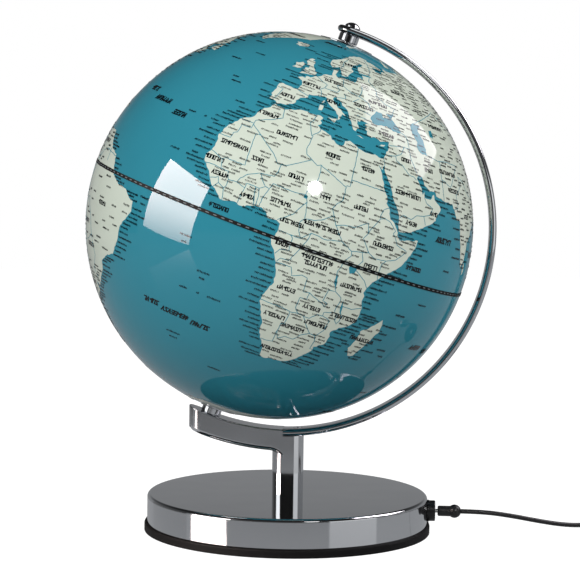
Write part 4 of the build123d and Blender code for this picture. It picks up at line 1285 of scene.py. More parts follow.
LANDS: Dict[str, str] = {
    "africa": (
        "-5.9,35.8 -2,35.1 0,35.9 3,36.9 7.5,37 10,37.3 11,36.9 10.4,35.8 11.1,35.2 10.1,34 "
        "11.2,33.2 13.2,32.9 15.2,32.3 15.8,31.3 18,30.4 19.3,30.3 20,31 20.1,32.3 21.6,32.9 "
        "23.1,32.4 25,31.6 27.5,31.1 29.9,31.2 31,31.6 32.3,31.2 32.6,29.9 33.6,27.8 34.5,26 "
        "35.5,24 35.7,22.8 37.2,21 37.4,19 38.6,18 39.7,15.2 41.2,14.6 42.5,13.2 43.2,12.3 "
        "43.3,11.5 44.5,10.4 47,11.1 49,11.3 51.2,11.9 51,10.4 50,8.2 48,4.6 46,2.4 44,1 42.5,-0.4 "
        "41,-2 40.2,-2.7 39.2,-4.7 38.8,-6.2 39.5,-7 39.4,-8.5 40.5,-10.5 40.7,-14.5 39,-16.8 "
        "36.8,-17.9 35,-19.8 35.5,-22 35.4,-24 32.7,-25.9 32.8,-27.5 31.3,-29.4 30,-31.3 28,-33 "
        "25.7,-34 22.5,-34.1 20,-34.8 18.4,-34.2 18.2,-32.5 17,-29.5 15.2,-27 14.5,-23 13.4,-20.8 "
        "11.8,-17.8 12.5,-14.5 13.7,-11.5 13.2,-8.8 12.2,-6 11,-4 9.3,-1.9 8.8,-0.7 9.5,0.5 "
        "9.8,2.5 9.7,4 8.5,4.6 7,4.4 6,4.3 5,5.8 3.4,6.4 1.2,6 -2,4.8 -4,5.3 -7.5,4.4 -9.5,5.7 "
        "-11.4,6.9 -13.2,8.8 -13.8,9.8 -15,11 -16.7,12.4 -17.4,14.7 -16.5,16 -16.3,19 -17,21 "
        "-16,23.7 -14.5,26.1 -12.9,27.9 -11,28.8 -9.8,29.8 -9.6,31.4 -8.5,33.2 -6.8,34.1"
    ),
    "eurasia": (
        "34.2,31.3 35,32.8 35.9,34.8 35.8,36.2 36.1,36.9 34.6,36.7 32.5,36.1 30.6,36.8 29,36.4 "
        "27.4,36.7 27.2,37.9 26.3,38.3 26.9,39.3 26.1,39.5 26.2,40.1 27.5,40.4 26,40.7 24.3,40.8 "
        "23.9,40 22.8,40.4 23,39.2 24,38 23.2,37.3 23,36.5 22,36.8 21.4,37.8 21,38.8 20,39.8 "
        "19.4,41.2 18.5,42.5 16.3,43.5 14.8,45 13.6,45.1 13.5,45.7 12.3,45.3 12.5,44.1 13.7,43.3 "
        "14.8,42.1 16,41.9 16.8,41.2 18.4,40.2 17,40.4 16.8,39.5 16.5,38.4 15.8,37.9 15.8,39.5 "
        "14.5,40.7 12.3,41.7 10.6,42.8 10.1,44 8.8,44.4 7.3,43.7 5,43.3 3.1,43.1 3.2,41.9 0.8,40.8 "
        "-0.2,39.4 0.1,38.7 -0.8,37.7 -2.2,36.8 -4.5,36.6 -5.5,36 -6.5,36.8 -8.9,37 -8.8,38.5 "
        "-9.4,38.8 -8.8,41 -9.2,43.1 -8,43.7 -4.5,43.4 -1.8,43.4 -1.2,45.5 -2.2,47.2 -4.5,48 "
        "-3,48.8 -1.6,48.7 -1.7,49.6 0.2,49.6 1.7,50.9 3.8,51.6 4.6,52.8 7,53.5 8.7,53.9 8.3,55.3 "
        "8.2,56.8 10.5,57.6 10.3,56.3 9.8,55 10.9,54 13.5,54.4 16.5,54.5 18.7,54.5 19.8,54.4 "
        "21.1,55.8 21.3,57.5 22.6,57.8 24.2,57.1 24.4,58.4 23.5,59.2 28,59.6 30.2,59.9 28,60.5 "
        "25,60.2 22.5,60 21.4,61.5 21.5,63.2 24.5,64.8 25.3,65.2 24,65.8 22,65.3 21.3,64.4 18,62.7 "
        "17.2,61 18.8,60 18,58.9 16.6,57.5 16,56.2 14.3,55.5 12.9,55.5 12.6,56.5 11.6,58 11,59 "
        "10.6,59.5 9.5,58.8 7,58 5.6,58.9 5,60.8 5.2,62 8.5,63.6 10.5,64.5 12.5,66.2 15,68.3 "
        "19,69.9 25.5,71.1 31,70.3 30,69.6 36,69 41,67.2 40,66.2 34.5,66.6 33,66.6 34.8,64.5 38,64 "
        "40,64.7 40,65.6 44,66.2 44.2,68.3 48,67.6 54,68.3 60,69 66.8,69 68,71 70,73 73,71.5 72,68 "
        "74.5,68.5 75,72 80.5,73.5 87,75 98,76.2 104.3,77.7 113,75.5 113,74 119,73 127,73.3 130,71 "
        "137,71.5 140,72.6 150,71.5 160,69.7 170,69.8 176,69.7 180,69 190,66.1 187,64.5 180,65 "
        "179,62.5 170.5,60.2 163.5,59.5 163,57.5 162,55 159,53 156.7,51.1 155.7,54 156,57 161,60.5 "
        "163.5,62.4 156,61.5 151,59.3 142,59.2 135.5,55 140.8,53.3 140.4,48.5 135.5,44 132,43.1 "
        "130,42.2 127.6,39.8 129.4,37 129.2,35.2 126.4,34.4 126.6,37 125,38.5 124.5,40 121.5,39 "
        "121,40.7 118,39 119,37.5 122.4,37.2 119.3,35 121.8,31.7 121.5,28.5 119.5,25.5 116.5,23 "
        "113.5,22.2 110.5,21.2 109.6,21.5 108,21.5 106,19.5 107.5,16.5 109.2,13.5 109,11.5 "
        "106.7,10.2 104.8,8.6 103,11 100.9,13 100,12 99.2,10 100.3,7.5 103.4,4.2 104.2,1.4 "
        "101.5,2.8 100.3,5.8 98.4,8 98.6,12 97.6,16.3 95.3,15.8 94.3,18.5 92.2,20.8 90.5,22.5 "
        "88.5,21.7 86.9,20.7 85,19.5 82.3,16.7 80.2,15.5 80.2,13 79.8,10.3 78.2,8.8 77.5,8.1 "
        "76.3,9.9 74.8,13 73.3,17 72.8,19 72.6,21.2 70.5,20.8 69,22.3 68.2,23.7 66.7,25.2 "
        "61.6,25.1 57.3,25.8 56.5,27.1 54,26.6 51.5,27.8 50.2,30 48.6,30.2 48,29 50,26.7 50.8,24.8 "
        "51.5,25.9 51.6,24.2 54.3,24.2 56.1,26 56.4,24.6 58.5,23.6 59.8,22.5 58,20.3 57.5,18.8 "
        "55.2,17.3 52.2,15.7 48.5,14 45,12.8 43.5,12.7 42.8,15 42.5,16.8 40.8,19.5 39.1,21.5 38,24 "
        "36.5,26 35,28.1 34.9,29.5 34.3,27.8 33.2,28.7 32.6,29.9 32.4,31.1"
    ),
    "britain": (
        "-5.2,50 -3.5,50.3 1.3,51.2 1.7,52.6 0.3,53 0,53.6 -1.4,54.8 -2,55.8 -2.2,57.5 -4,57.7 "
        "-3.1,58.6 -5,58.6 -5.8,57.3 -6.2,56.6 -4.8,55.6 -5,54.8 -3.1,54.9 -3,53.5 -4.5,53.2 "
        "-4.2,52.3 -5.2,51.8 -3,51.4 -4.5,50.9"
    ),
    "ireland": (
        "-10,51.6 -6.4,52.2 -6.1,53.5 -5.6,54.6 -7.4,55.3 -8.5,54.4 -10,54.1 -9.2,53"
    ),
    "iceland": (
        "-22.5,63.9 -18.8,63.4 -14.6,64.5 -14.7,65.9 -16.2,66.5 -20.3,66 -22.3,66.4 -24.3,65.6 "
        "-22,64.9"
    ),
    "svalbard": "11,79 15,76.8 20,78.5 27,80.2 18,80.4",
    "novaya": "52,71 57,70.7 60,75 68,76.8 60,76 54,73.5",
    "sicily": "12.5,37.8 15.1,36.7 15.6,38.2",
    "sardinia": "8.4,39 9.6,39.2 9.7,41 8.3,40.9",
    "corsica": "8.7,41.6 9.5,42.2 9.4,43 8.7,42.4",
    "crete": "23.6,35.3 26.2,35.1 24.8,35.6",
    "cyprus": "32.3,34.8 34,35 34.5,35.6 32.9,35.3",
    "madagascar": (
        "49.3,-12 50.5,-15.5 49.5,-17.5 48,-22 47,-25 45.2,-25.5 43.5,-23 44.4,-20 44,-17 46,-15.8 "
        "48,-13.5"
    ),
    "sri_lanka": "79.8,8 80.2,6 81.8,7 81,8.9 80.2,9.7",
    "north_america": (
        "-168,65.6 -166,68.4 -156.5,71.3 -141,69.7 -128,70.2 -115,68.5 -108,68 -96,68.2 -94.5,71.8 "
        "-88,68 -81.5,69 -85.5,66.5 -87,64.5 -94.5,60.5 -93,58.8 -85,55.3 -82.3,53 -79,51.3 "
        "-79,54.5 -76.8,56.8 -78.2,60.5 -77.5,62.4 -70,61 -65,59 -64.5,60.3 -61.5,57 -56,52.5 "
        "-60,50.2 -66.5,50.2 -70,47.5 -65,49.2 -64.5,46.8 -60.3,46.5 -63.5,44.6 -66,43.6 -67,44.8 "
        "-70.2,43.6 -70,41.8 -74,40.5 -75.5,37.8 -76,36.8 -75.6,35.2 -78,33.9 -81.2,31.5 "
        "-80.2,26.8 -80.4,25.2 -82,27 -83.5,29.8 -85.2,29.7 -89.2,30.3 -89.3,29.1 -94,29.6 "
        "-97.2,27.5 -97.8,22.3 -96.2,19.2 -94.5,18.2 -92,18.6 -90.4,20.8 -87,21.5 -88,18.5 "
        "-88.7,15.9 -83.4,15.1 -83.7,11 -81.8,9 -79.6,9.5 -77.3,8.6 -78,7.5 -80.4,7.4 -83,8.3 "
        "-85.7,10.5 -87.5,13 -91.5,14 -94.5,16.2 -99.5,16.7 -105.5,20 -105.7,22.8 -109.4,26 "
        "-112.8,30.5 -114.8,31.7 -112,28 -109.5,23.1 -112.2,25.5 -115,28.5 -117.1,32.5 -120.6,34.6 "
        "-123.8,39.3 -124.2,43 -124.6,48.3 -122.8,49 -127.5,51 -130.5,54.8 -135,58.3 -139.5,59.7 "
        "-146,60.8 -151.5,59.3 -154,58.5 -158.5,56.2 -164.5,54.6 -158,58 -162,58.7 -165.5,61.5 "
        "-161,64 -166,64.5"
    ),
    "greenland": (
        "-73,78.2 -68,76 -58,75.5 -54,70.5 -53.5,67 -50,62 -44,60 -41.5,63 -32,68.1 -22,70.5 "
        "-20,75 -18,80 -32,83.5 -60,82 -66,80"
    ),
    "baffin": (
        "-64.5,63 -68,62 -73,64.5 -72,67 -78,70 -88,71 -89,73.5 -80,73.7 -70,70.8 -62,66.7"
    ),
    "victoria": "-117,69 -105,68.8 -102,71 -105,73 -117,73 -118,71",
    "ellesmere": "-88,76.5 -78,77 -63,82 -75,83 -92,81",
    "newfoundland": "-59.2,47.7 -53,46.7 -53.5,49 -55.5,51.5",
    "cuba": "-84.9,21.9 -80,23.1 -74.2,20.2 -77.5,19.9 -79,21.5",
    "hispaniola": "-74.3,18.5 -68.5,18.3 -70,19.8 -73.2,19.9",
    "south_america": (
        "-77.3,8.6 -75.5,10.7 -72,12.2 -71.5,10.9 -68,11 -62,10.6 -60,8.4 -57,6 -52,4.8 -50,1.2 "
        "-48.5,-0.8 -44.3,-2.6 -40,-2.9 -37,-4.9 -35.3,-5.3 -34.8,-8 -37,-11.2 -38.6,-13.2 "
        "-39.1,-17.8 -40.9,-22 -44.5,-23.1 -48.5,-25.8 -48.7,-28.5 -52.2,-32.5 -54.9,-34.9 "
        "-58.3,-34 -57,-36.5 -62,-39 -65,-41 -65.3,-45 -67.5,-46.5 -65.8,-48 -69,-51 -68.3,-53 "
        "-65.2,-54.8 -69.5,-55.3 -74.5,-52 -75.5,-47.5 -73.5,-42 -73.5,-37.5 -71.5,-32 -70.2,-22 "
        "-70.3,-18.4 -76,-14 -79.5,-7.8 -81.2,-5 -80.2,-2.5 -80,0.5 -77.5,3.5 -77.5,7"
    ),
    "australia": (
        "113.5,-22 115,-21 119,-20 122.2,-18 125,-14.8 129.5,-14.9 131,-12.3 136.5,-12 135.7,-15 "
        "139.5,-17.5 141.6,-14 142.5,-10.8 145.3,-15 146.3,-18.9 150.5,-23 153.2,-27 152.8,-31.5 "
        "150.2,-37 146.3,-39 143.5,-38.8 140,-37.5 138.2,-35 135.5,-34.8 131.3,-31.5 126,-32.3 "
        "123.5,-34 118,-35 115.1,-34.3 115.7,-31.7 113.8,-26"
    ),
    "tasmania": "144.7,-40.8 148.3,-40.9 147.8,-43.2 146,-43.5",
    "north_island": (
        "172.7,-34.5 175.5,-36.5 178.4,-37.7 176.9,-39.5 175.2,-41.6 173.8,-39.3 174.8,-37.5"
    ),
    "south_island": (
        "172.8,-40.6 174.2,-41.5 172.8,-43.7 170.7,-45.9 168.3,-46.6 166.6,-45.8 170.5,-43"
    ),
    "new_guinea": (
        "131,-0.8 134.2,-0.8 135,-3.2 138,-1.7 144.5,-3.8 147.8,-6.2 150.8,-10.4 147,-9.5 143,-9.2 "
        "138,-8.3 138,-5.5 133,-4"
    ),
    "borneo": (
        "109,1.5 111.5,2.5 115,5 117,7 119,5 117.7,1 116.2,-3.8 114.5,-3.8 110.2,-2.9"
    ),
    "sumatra": "95.3,5.6 98.5,4 103.5,0 106,-3 105.8,-5.8 102,-4 98.5,1.8",
    "java": "105.3,-6.8 108.5,-6.7 114.5,-7.7 114.3,-8.6 108,-7.7",
    "sulawesi": "119.5,-5.5 120.5,-3 123.5,-4.5 121.5,-1.8 125,1.6 120,0.7 119,-3",
    "luzon": "120.3,16 120.8,18.5 122.2,18.4 121.6,15.5 124,12.7 120.7,13.9",
    "mindanao": "122,7 125.5,9.7 126.4,7 125.4,5.8",
    "honshu": (
        "130.2,31.3 131.5,31.5 132,33.5 135.8,33.5 137.5,34.6 140.9,35.7 141.8,39.5 141.2,41.4 "
        "139.9,39.5 137,37.3 135,35.7 131,34.4 129.7,32.8"
    ),
    "hokkaido": "140,41.5 143.3,42 145.5,43.3 141.9,45.5 141,43",
    "sakhalin": "142,46 143.5,49.3 143,54.3 141.8,52",
    "taiwan": "120.2,23 120.9,21.9 122,25.1 121,25",
    "antarctica": (
        "-180,-78 -180,-90 180,-90 180,-78 168,-77.5 165,-71 140,-66.8 110,-66.3 80,-68 55,-66.5 "
        "30,-69.5 0,-70 -20,-73.5 -40,-78 -61,-75 -62,-69 -58,-64 -62,-64.5 -75,-71 -100,-72 "
        "-125,-73.5 -150,-77"
    ),
}

WATERS: Dict[str, str] = {
    "caspian": (
        "47.2,45.5 49,46.5 53,46.8 51,44.5 53,42 53.8,39 53.7,37 50.5,37.2 49,38.5 49.5,40.5 "
        "47.6,42.8"
    ),
    "black_sea": (
        "28,42.5 28.6,43.8 30.5,46 33,46 33.5,44.5 36.5,45.2 35,46.3 37.5,46.9 39,47.2 37.5,45.3 "
        "39,44 41.5,42 41.3,41.3 38,41 35,42 31.5,41.2 29,41.2"
    ),
    "aral": "58.5,44 60.5,43.8 61,46.5 59,46.2",
    "lake_east": "31.8,-1 32.5,-2.4 33.8,-2 34.2,-0.2 33,0.3 31.9,0",
    "lake_long": "29.2,-3.4 29.8,-5 30.9,-8.6 30.4,-7.5 29.2,-5.5",
    "lake_south": "34,-9.6 34.6,-11.5 35.2,-14.2 34.6,-13.5 34.1,-11.5",
    "lake_deep": "104,51.5 106,52.2 109.8,55.6 107.5,53.5",
    "lake_upper": "-92,46.8 -88,48.8 -84.6,46.7 -87.5,46.5",
    "lake_middle": "-87.8,42 -86.3,42.2 -86.2,44.8 -85,45.8 -87.5,45.2",
    "lake_right": "-82.4,43.2 -81.7,44.8 -80.2,44.6 -83,46 -84,45.3 -83.3,44",
    "lake_dry": "13.2,12.8 14.2,12.7 14.3,13.5 13.5,13.9",
}

BORDERS: str = (
    "-2,35.1 -1.2,32.3 -3.5,31 -8.7,28.7 -8.7,27.7 -13,27.7 | -8.7,27.7 -8.7,26 -12,26 -12,23.5 "
    "-13,23 -13.1,21.3 -17,21.3 | -8.7,27.3 -4.8,25 1.2,21.1 3.2,19 4.2,19.2 5.8,19.5 12,23.5 | "
    "-4.8,25 -6.5,25 -5.5,16.5 -5.3,15.5 -9.3,15.5 -11.5,15.5 -12.2,14.8 -16.4,16.2 | 12,23.5 "
    "10,24.5 9.4,26.1 9.9,30.3 9.5,30.2 8.3,32.5 7.5,33.8 8.3,35 8.6,36.9 | 9.5,30.3 11.5,32.4 "
    "11.5,33.1 | 25,31.6 25,22 25,20 24,20 24,19.5 15,23 14,22.5 12,23.5 | 25,22 36.8,22 | 15,23 "
    "15.5,21 15.5,17 13.5,14.5 13.6,13.7 | 24,19.5 24,15.7 22.5,14 21.9,12.6 22.9,11 | 22.9,11 "
    "20.5,9.1 18.5,8.1 15.5,7.5 14.5,6.2 15,4 16.2,2.2 18.5,4.5 22.5,4.1 27.4,5.1 24.2,8.7 22.9,11 "
    "| 24.2,8.7 26.5,9.5 29.5,9.8 32.4,11.7 33.2,12.2 34,9.5 | 34,9.5 33,7.9 35.9,4.6 38.1,3.6 "
    "41.9,3.9 45,5 48,8 44,9 42.8,10.9 41.8,11.7 42.4,12.5 40,14.4 37.9,14.9 36.5,14.3 36.4,15.2 "
    "37,17.1 38.6,18 | 36.5,14.3 35.2,12 34.3,10.6 34,9.5 | 41.9,3.9 41,2.8 41,-0.9 41.5,-1.7 | "
    "39.2,-4.7 37.6,-3 34,-1 34,0.3 35,1.9 34,4.2 30.8,3.5 27.4,5.1 | 34,4.2 35.9,4.6 | 30.8,3.5 "
    "31.2,2.2 29.9,0.6 29.6,-1.4 29,-2.8 29.3,-4.4 29.5,-6 30.8,-8.3 28.7,-8.5 28.4,-11.8 "
    "29.8,-12.2 29.8,-13.4 28,-12.4 25.4,-11.6 24,-10.9 22.2,-11.2 21.8,-7.3 20,-7 17.5,-8.1 "
    "16.6,-5.9 13,-5.9 12.3,-6.1 | 9.8,2.3 11.3,2.3 13.3,2.2 16.2,2.2 | 13.3,2.2 14.2,1.4 "
    "14.4,-1.9 12,-2.4 11.1,-3.9 | 18.5,4.5 18,2 16.5,-1.7 15.2,-4.5 13,-4.6 12.3,-5.8 | 24,-10.9 "
    "24,-13 22,-13 22,-16.2 23.3,-17.6 | 11.8,-17.3 13.9,-17.4 18.4,-17.4 21.4,-17.9 23.3,-17.6 "
    "25.2,-17.8 | 21,-18 21,-22 20,-22 20,-28.4 17.4,-28.7 16.5,-28.6 | 20,-24.8 21,-26.8 "
    "22.8,-25.5 25.6,-25.6 27,-23.6 29.4,-22.2 | 25.2,-17.8 27,-20 29.4,-22.2 31.3,-22.4 32.9,-20 "
    "32.9,-16.7 30.4,-16 28.8,-16 27,-17.9 25.2,-17.8 | 31.3,-22.4 32,-24.4 32,-26.8 32.9,-26.8 | "
    "30.4,-16 30.2,-14.9 33.2,-14 33,-12.6 33.3,-10.8 33,-9.4 30.8,-8.3 | 34.6,-11.6 37.5,-11.7 "
    "40.4,-10.5 | 33.2,-14 34.5,-14.6 34.4,-16.2 35.3,-17.1 35.8,-16 35.8,-14.6 34.9,-13.5 "
    "34.6,-11.6 | -12.2,14.8 -11.4,12.4 -13.7,12.6 -16.7,12.4 | -11.4,12.4 -9,12.3 -8,10.2 "
    "-7.9,8.5 -8.3,7.6 | -13.2,9 -11,10 -10.3,8.5 -11.4,6.9 | -10.3,8.5 -8.3,7.6 -7.5,4.4 | "
    "-8,10.2 -5.5,10.4 -2.8,9.7 -3.2,5.1 | -5.5,10.4 -5,11.8 -3.5,13.4 -0.2,15 0.9,13.4 2.4,12 "
    "1,11 -2.8,11 -2.8,9.7 | -0.1,11.1 0.5,8.5 1.2,6.1 | 0.9,11 1.6,9 1.7,6.2 | 3.6,11.7 2.7,8.5 "
    "2.7,6.4 | -0.2,15 3.6,15.4 4.2,16.9 4.2,19.2 | 2.4,12 3.6,11.7 4.1,13.5 7.8,13.3 10,13.3 "
    "13.6,13.7 14.6,12 13.5,10.2 12,7.5 8.6,4.8 | 14.6,12 15,10 15.5,7.5 | -8.8,41.9 -6.6,41.7 "
    "-7,39 -7.4,37.2 | -1.8,43.3 3.1,42.4 | 7.5,43.8 6.9,45.9 6,46.3 7.6,47.6 8.2,49 6.1,49.6 "
    "2.5,51.1 | 14.2,53.9 14.8,51 12.2,50.3 13.8,48.7 13,47.6 9.6,47.5 7.6,47.6 | 23.6,53.9 "
    "23.6,51.5 22.6,49.1 18.8,49.5 14.8,51 | 36.1,36 42.4,37.1 44.8,37.2 44.5,39.7 43.5,41.1 "
    "41.5,41.5 | 44.8,37.2 45.5,34 48,30.5 | 42.4,37.1 41,34.4 38.8,33.4 35.7,32.7 | 38.8,33.4 "
    "39.2,32.1 42,31.1 44.7,29.2 46.5,29.1 47.7,28.5 | 42.8,16.4 44,17.4 47,17 49.1,18.6 52,19 "
    "55,20 55.7,22 52.6,22.9 51.6,24.1 | 52,19 53.1,16.7 | 61,36.6 60.9,31.5 61.6,25.2 | 68.2,23.7 "
    "71,24.4 70,28 74.5,31 74,34 | 34.2,31.3 34.9,29.5 | -51.6,4.2 -60,5.2 -64,4.1 -67,1.2 "
    "-70,-4.2 -73,-7.5 -70.6,-11 -65.3,-10 -60,-15 -58,-20 -54.6,-25.6 -57.6,-30.2 -53.4,-33.7 | "
    "-123,49 -95.2,49 -89,48 -82.5,45.3 -79,43.3 -74.8,45 -71,45.3 -67.8,47.1 -67,44.9 | "
    "-117.1,32.5 -111,31.3 -106.5,31.8 -101.4,29.8 -97.2,25.9 | -141,69.7 -141,60.3 -130.5,55 | "
    "49,46.5 61,51 71,54.2 80,51 87.5,49.1 98,52 108,49.5 116.7,49.9 120,53.3 127.5,49.8 135,48.4 "
    "131,44.8 130.7,42.3 | 87.5,49.1 91,45.2 96.4,42.7 105,41.6 111.9,43.7 119.8,46.7 116.7,49.9 | "
    "74,34 79,32.5 81,30.2 88,27.9 97.3,28.2 | 28.2,69.8 29.5,66.5 30,63 28,60.6 | 14,68 14.5,65.5 "
    "12.5,63.5 12.2,61 11.5,59 | 28.2,59.4 27.5,57.5 31,55 31.5,52 35,50 40,49.5 38.2,47.1 | "
    "22.6,49.1 26.5,48.2 28.2,45.5 30,46 | 22,44.5 28,43.7 | 22.5,42 26.3,41.7 | 20,46.2 22.5,48 | "
    "16.2,48 17,46.5 13.7,45.6 | 53.9,37.4 60,36.6 66.5,37.4 74,37.2 | 61,31.4 66.3,29.9 69.5,33 "
    "74,37 | -69.9,-18.4 -67.5,-22.8 -70,-31 -71.8,-45 -72.3,-51 | -67.5,-22.8 -62.5,-22 -58,-20 | "
    "-69.5,-10.9 -69,-17.5 | -78.8,1.4 -75.2,-0.2 -70,-4.2 | -80.3,-3.4 -75.2,-0.2 | -72,12 "
    "-72.5,8 -67.4,6.2 -67,1.2 | -57.2,5.8 -56.5,2 | 129,-14.9 129,-31.6 | 138,-16.6 138,-26 "
    "141,-26 141,-38 | 129,-26 138,-26 | 141,-29 149,-29 153,-28.2 | 141,-34 146,-36 150,-37.4 | "
    "141,-2.7 141,-9.1"
)

SEA_WORDS: str = (
    "-56,27,5 -45.5,24.8,8 -34,22.5,5 -22.5,-30.5,5 -13,-31.3,8 -3.5,-32,5 72,-18,6 82,-19,5 "
    "63,14,7 88,12,6 -150,12,7 -138,12,5 165,14,7 177,14,5 -120,-28,5 -108,-28,7 -96,-28,5 "
    "75,-52,8 160,-38,6 0,74,6 20,74,5 150,30,7"
)

NOTE_WORDS: str = (
    "-30,24.6,6 -24.5,24.6,2 -20.8,24.6,6 -11,-22.2,6 -6.2,-22.2,2 -1,-22.2,9 -28,13,8 -21,14,5 "
    "-14,-8,9 -14,-9.8,4 -6,-16,9 -6,-17.8,4 -13,-38,10 -13,-39.8,6 5,-46,9 48,-26,8 56,-21,8 "
    "57.5,-23,5 62,-5,9 68,6,8 55,-9.5,9 -24,38.5,8 -26,40.2,5 -17,32.5,7 -35,47,9 -28,52,8 "
    "-40,58,9 -10,63,8 -31,-3,8 -31,-4.8,5 70,-38,8 85,-30,9 -80,-25,9 -95,5,8 -130,-10,9"
)

COAST_WORDS: Dict[str, float] = {
    "africa": 1.5,
    "eurasia": 2.6,
    "south_america": 1.3,
    "north_america": 2.6,
    "madagascar": 2.2,
    "australia": 2.6,
}

COUNTRY_WORDS: str = (
    "-7.5,2.4,7 2.5,27.8,7 -2.5,18.3,4 -10.6,19.8,10 17.8,26.8,5 29.5,26.4,5 9.5,17.4,5 "
    "18.8,14.9,4 30,15.4,5 39.8,7.6,8 8,9.5,7 20.8,7,13 30.6,7.2,10 38,1.2,5 22.6,-1.6,11 "
    "22.6,-3.2,8 34.8,-5.8,8 17.6,-12,6 26.4,-14.8,6 17.4,-20.4,7 23.8,-22.2,8 29.8,-19,8 "
    "36.8,-14.6,10 22.8,-30.8,11 46.5,-19.4,10 52.5,4.2,7 45,23.4,11 43.4,33.2,4 54,32.6,4 35,39,6 "
    "47.6,15.9,5 56.5,20.5,4 -3.6,39.9,5 2.4,46.8,6 10.3,51.2,7 19.3,52.2,6 31.6,49,7 25,45.8,7 "
    "15.6,62.6,6 9.4,61.4,6 26.4,63.6,7 46,57,6 67,48.2,10 78.5,22.6,5 103,34.6,5 103.5,46.8,8 "
    "68.6,29,8 65.8,33.8,11 -51,-9.6,6 -65,-35,9 -64.8,-16.8,7 -75.4,-10.4,4 -73,3.8,8 -66,7.2,9 "
    "-70.6,-27,5 -58.8,-23,8 -99,39.6,13 -105,57,6 -102.5,23.8,6 -41,71,9 134,-25,9 113.5,-0.2,9 "
    "138.2,36.6,5 101,15.8,8 96,21,7 -6,31.9,7 -14.4,14.4,7 -10.8,10.9,6 -1.2,7.9,5 12.8,5.4,8 "
    "11.9,-0.8,5 13,43.4,5 90,62,6 120,64,6"
)

# Regions with few towns: their west, south, east and north edges, and the share of names kept.
EMPTY_LANDS: Sequence[Tuple[float, float, float, float, float]] = (
    (-13.0, 17.0, 35.0, 31.0, 0.28),
    (-76.0, -28.0, -36.0, 6.0, 0.08),
    (38.0, 16.0, 56.0, 30.0, 0.5),
    (48.0, 25.0, 140.0, 54.0, 0.4),
    (118.0, -32.0, 142.0, -18.0, 0.25),
    (60.0, 54.0, 180.0, 72.0, 0.45),
    (-125.0, 52.0, -62.0, 72.0, 0.45),
)

# The marks come in three films, by their west, south, east and north edges.
MARK_PARTS: Dict[str, Box] = {
    "north_west": (-400.0, 0.0, 40.0, 90.0),
    "north_east": (40.0, 0.0, 400.0, 90.0),
    "south": (-400.0, -90.0, 400.0, 0.0),
}


def places(text: str) -> List[Tuple[float, ...]]:
    """Reads points: longitude, latitude and, for a word, its length."""
    return [tuple(float(part) for part in point.split(",")) for point in text.split()]


def sides_of(outline: Sequence[Place]) -> List[Tuple[Place, Place]]:
    """The two ends of each side of an outline, in order."""
    return list(zip(outline, [*outline[1:], outline[0]]))


def signed_area(outline: Sequence[Place]) -> float:
    """The area of an outline in square degrees, below zero where it runs clockwise."""
    return sum(a[0] * b[1] - b[0] * a[1] for a, b in sides_of(outline)) / 2.0


def anticlockwise(outline: Sequence[Place]) -> List[Place]:
    """The outline, turned round where it runs clockwise."""
    return list(outline) if signed_area(outline) > 0 else list(reversed(outline))


def inside(outline: Sequence[Place], lon: float, lat: float) -> bool:
    """Whether a point lies in an outline.

    Args:
        outline: the corners.
        lon: the point's longitude.
        lat: the point's latitude.

    Returns:
        True where it lies inside.
    """
    within = False
    for a, b in sides_of(outline):
        if (a[1] > lat) != (b[1] > lat):
            if lon < (b[0] - a[0]) * (lat - a[1]) / (b[1] - a[1]) + a[0]:
                within = not within
    return within


def spread(first: float, last: float, steps: int) -> List[float]:
    """Evenly spaced values from the first to the last."""
    return [first + (last - first) * step / steps for step in range(steps + 1)]


def arc(middle: Place, radius: float, first: float, last: float, steps: int) -> List[Place]:
    """Points along an arc.

    Args:
        middle: the arc's middle.
        radius: its radius.
        first: the angle of its first point, in degrees.
        last: the angle of its last point, in degrees.
        steps: how many pieces it has.

    Returns:
        The points with both ends.
    """
    turns = [math.radians(angle) for angle in spread(first, last, steps)]
    across, up = middle
    return [(across + radius * math.cos(turn), up + radius * math.sin(turn)) for turn in turns]


@dataclass
class BaseCover:
    """The chrome drum of the base, in millimetres."""

    radius: float = 91.5
    low: float = 5.5
    high: float = DRUM_TOP
    wall: float = 1.2
    rim: float = 2.2
    rim_steps: int = 10
    inner_rim: float = 1.2
    inner_steps: int = 4
    bore: float = 2.0
    top_rows: int = 6
    socket_hole: float = 4.1
    drill_depth: float = 20.0
    steps: int = 224

    def profile(self) -> List[Place]:
        """The drum's section from the middle of its top over the rim and back inside.

        Returns:
            The section's corners, by distance from the middle and height.
        """
        inner, under = self.radius - self.wall, self.high - self.wall
        edge = self.radius - self.rim
        over = arc((edge, self.high - self.rim), self.rim, 90, 0, self.rim_steps)
        turn = (inner - self.inner_rim, under - self.inner_rim)
        back = arc(turn, self.inner_rim, 0, 90, self.inner_steps)
        flats = [(x, self.high) for x in spread(self.bore, edge, self.top_rows)[:-1]]
        skirt = [(self.radius, self.low), (inner, self.low)]
        return [*flats, *over, *skirt, *back, (self.bore, under)]

    def build(self, material: Material) -> Object:
        """Turns the drum and drills the socket's hole.

        Args:
            material: the drum's finish.

        Returns:
            The drum.
        """
        bench = Bench.outline("drum", [(x * MM, 0.0, z * MM) for x, z in self.profile()])
        bench.spin(self.steps, math.tau, (0, 0, 0), (0, 0, 1), ring=True)
        socket = (self.radius * MM, 0, SOCKET_HEIGHT * MM)
        bench.drill(self.socket_hole * MM, self.drill_depth * MM, socket, (0, math.pi / 2, 0))
        bench.smooth(35, flats=True)
        return bench.hand_over(Body.STAND, Slot.CHROME_BASE, material, ["base_cover"])


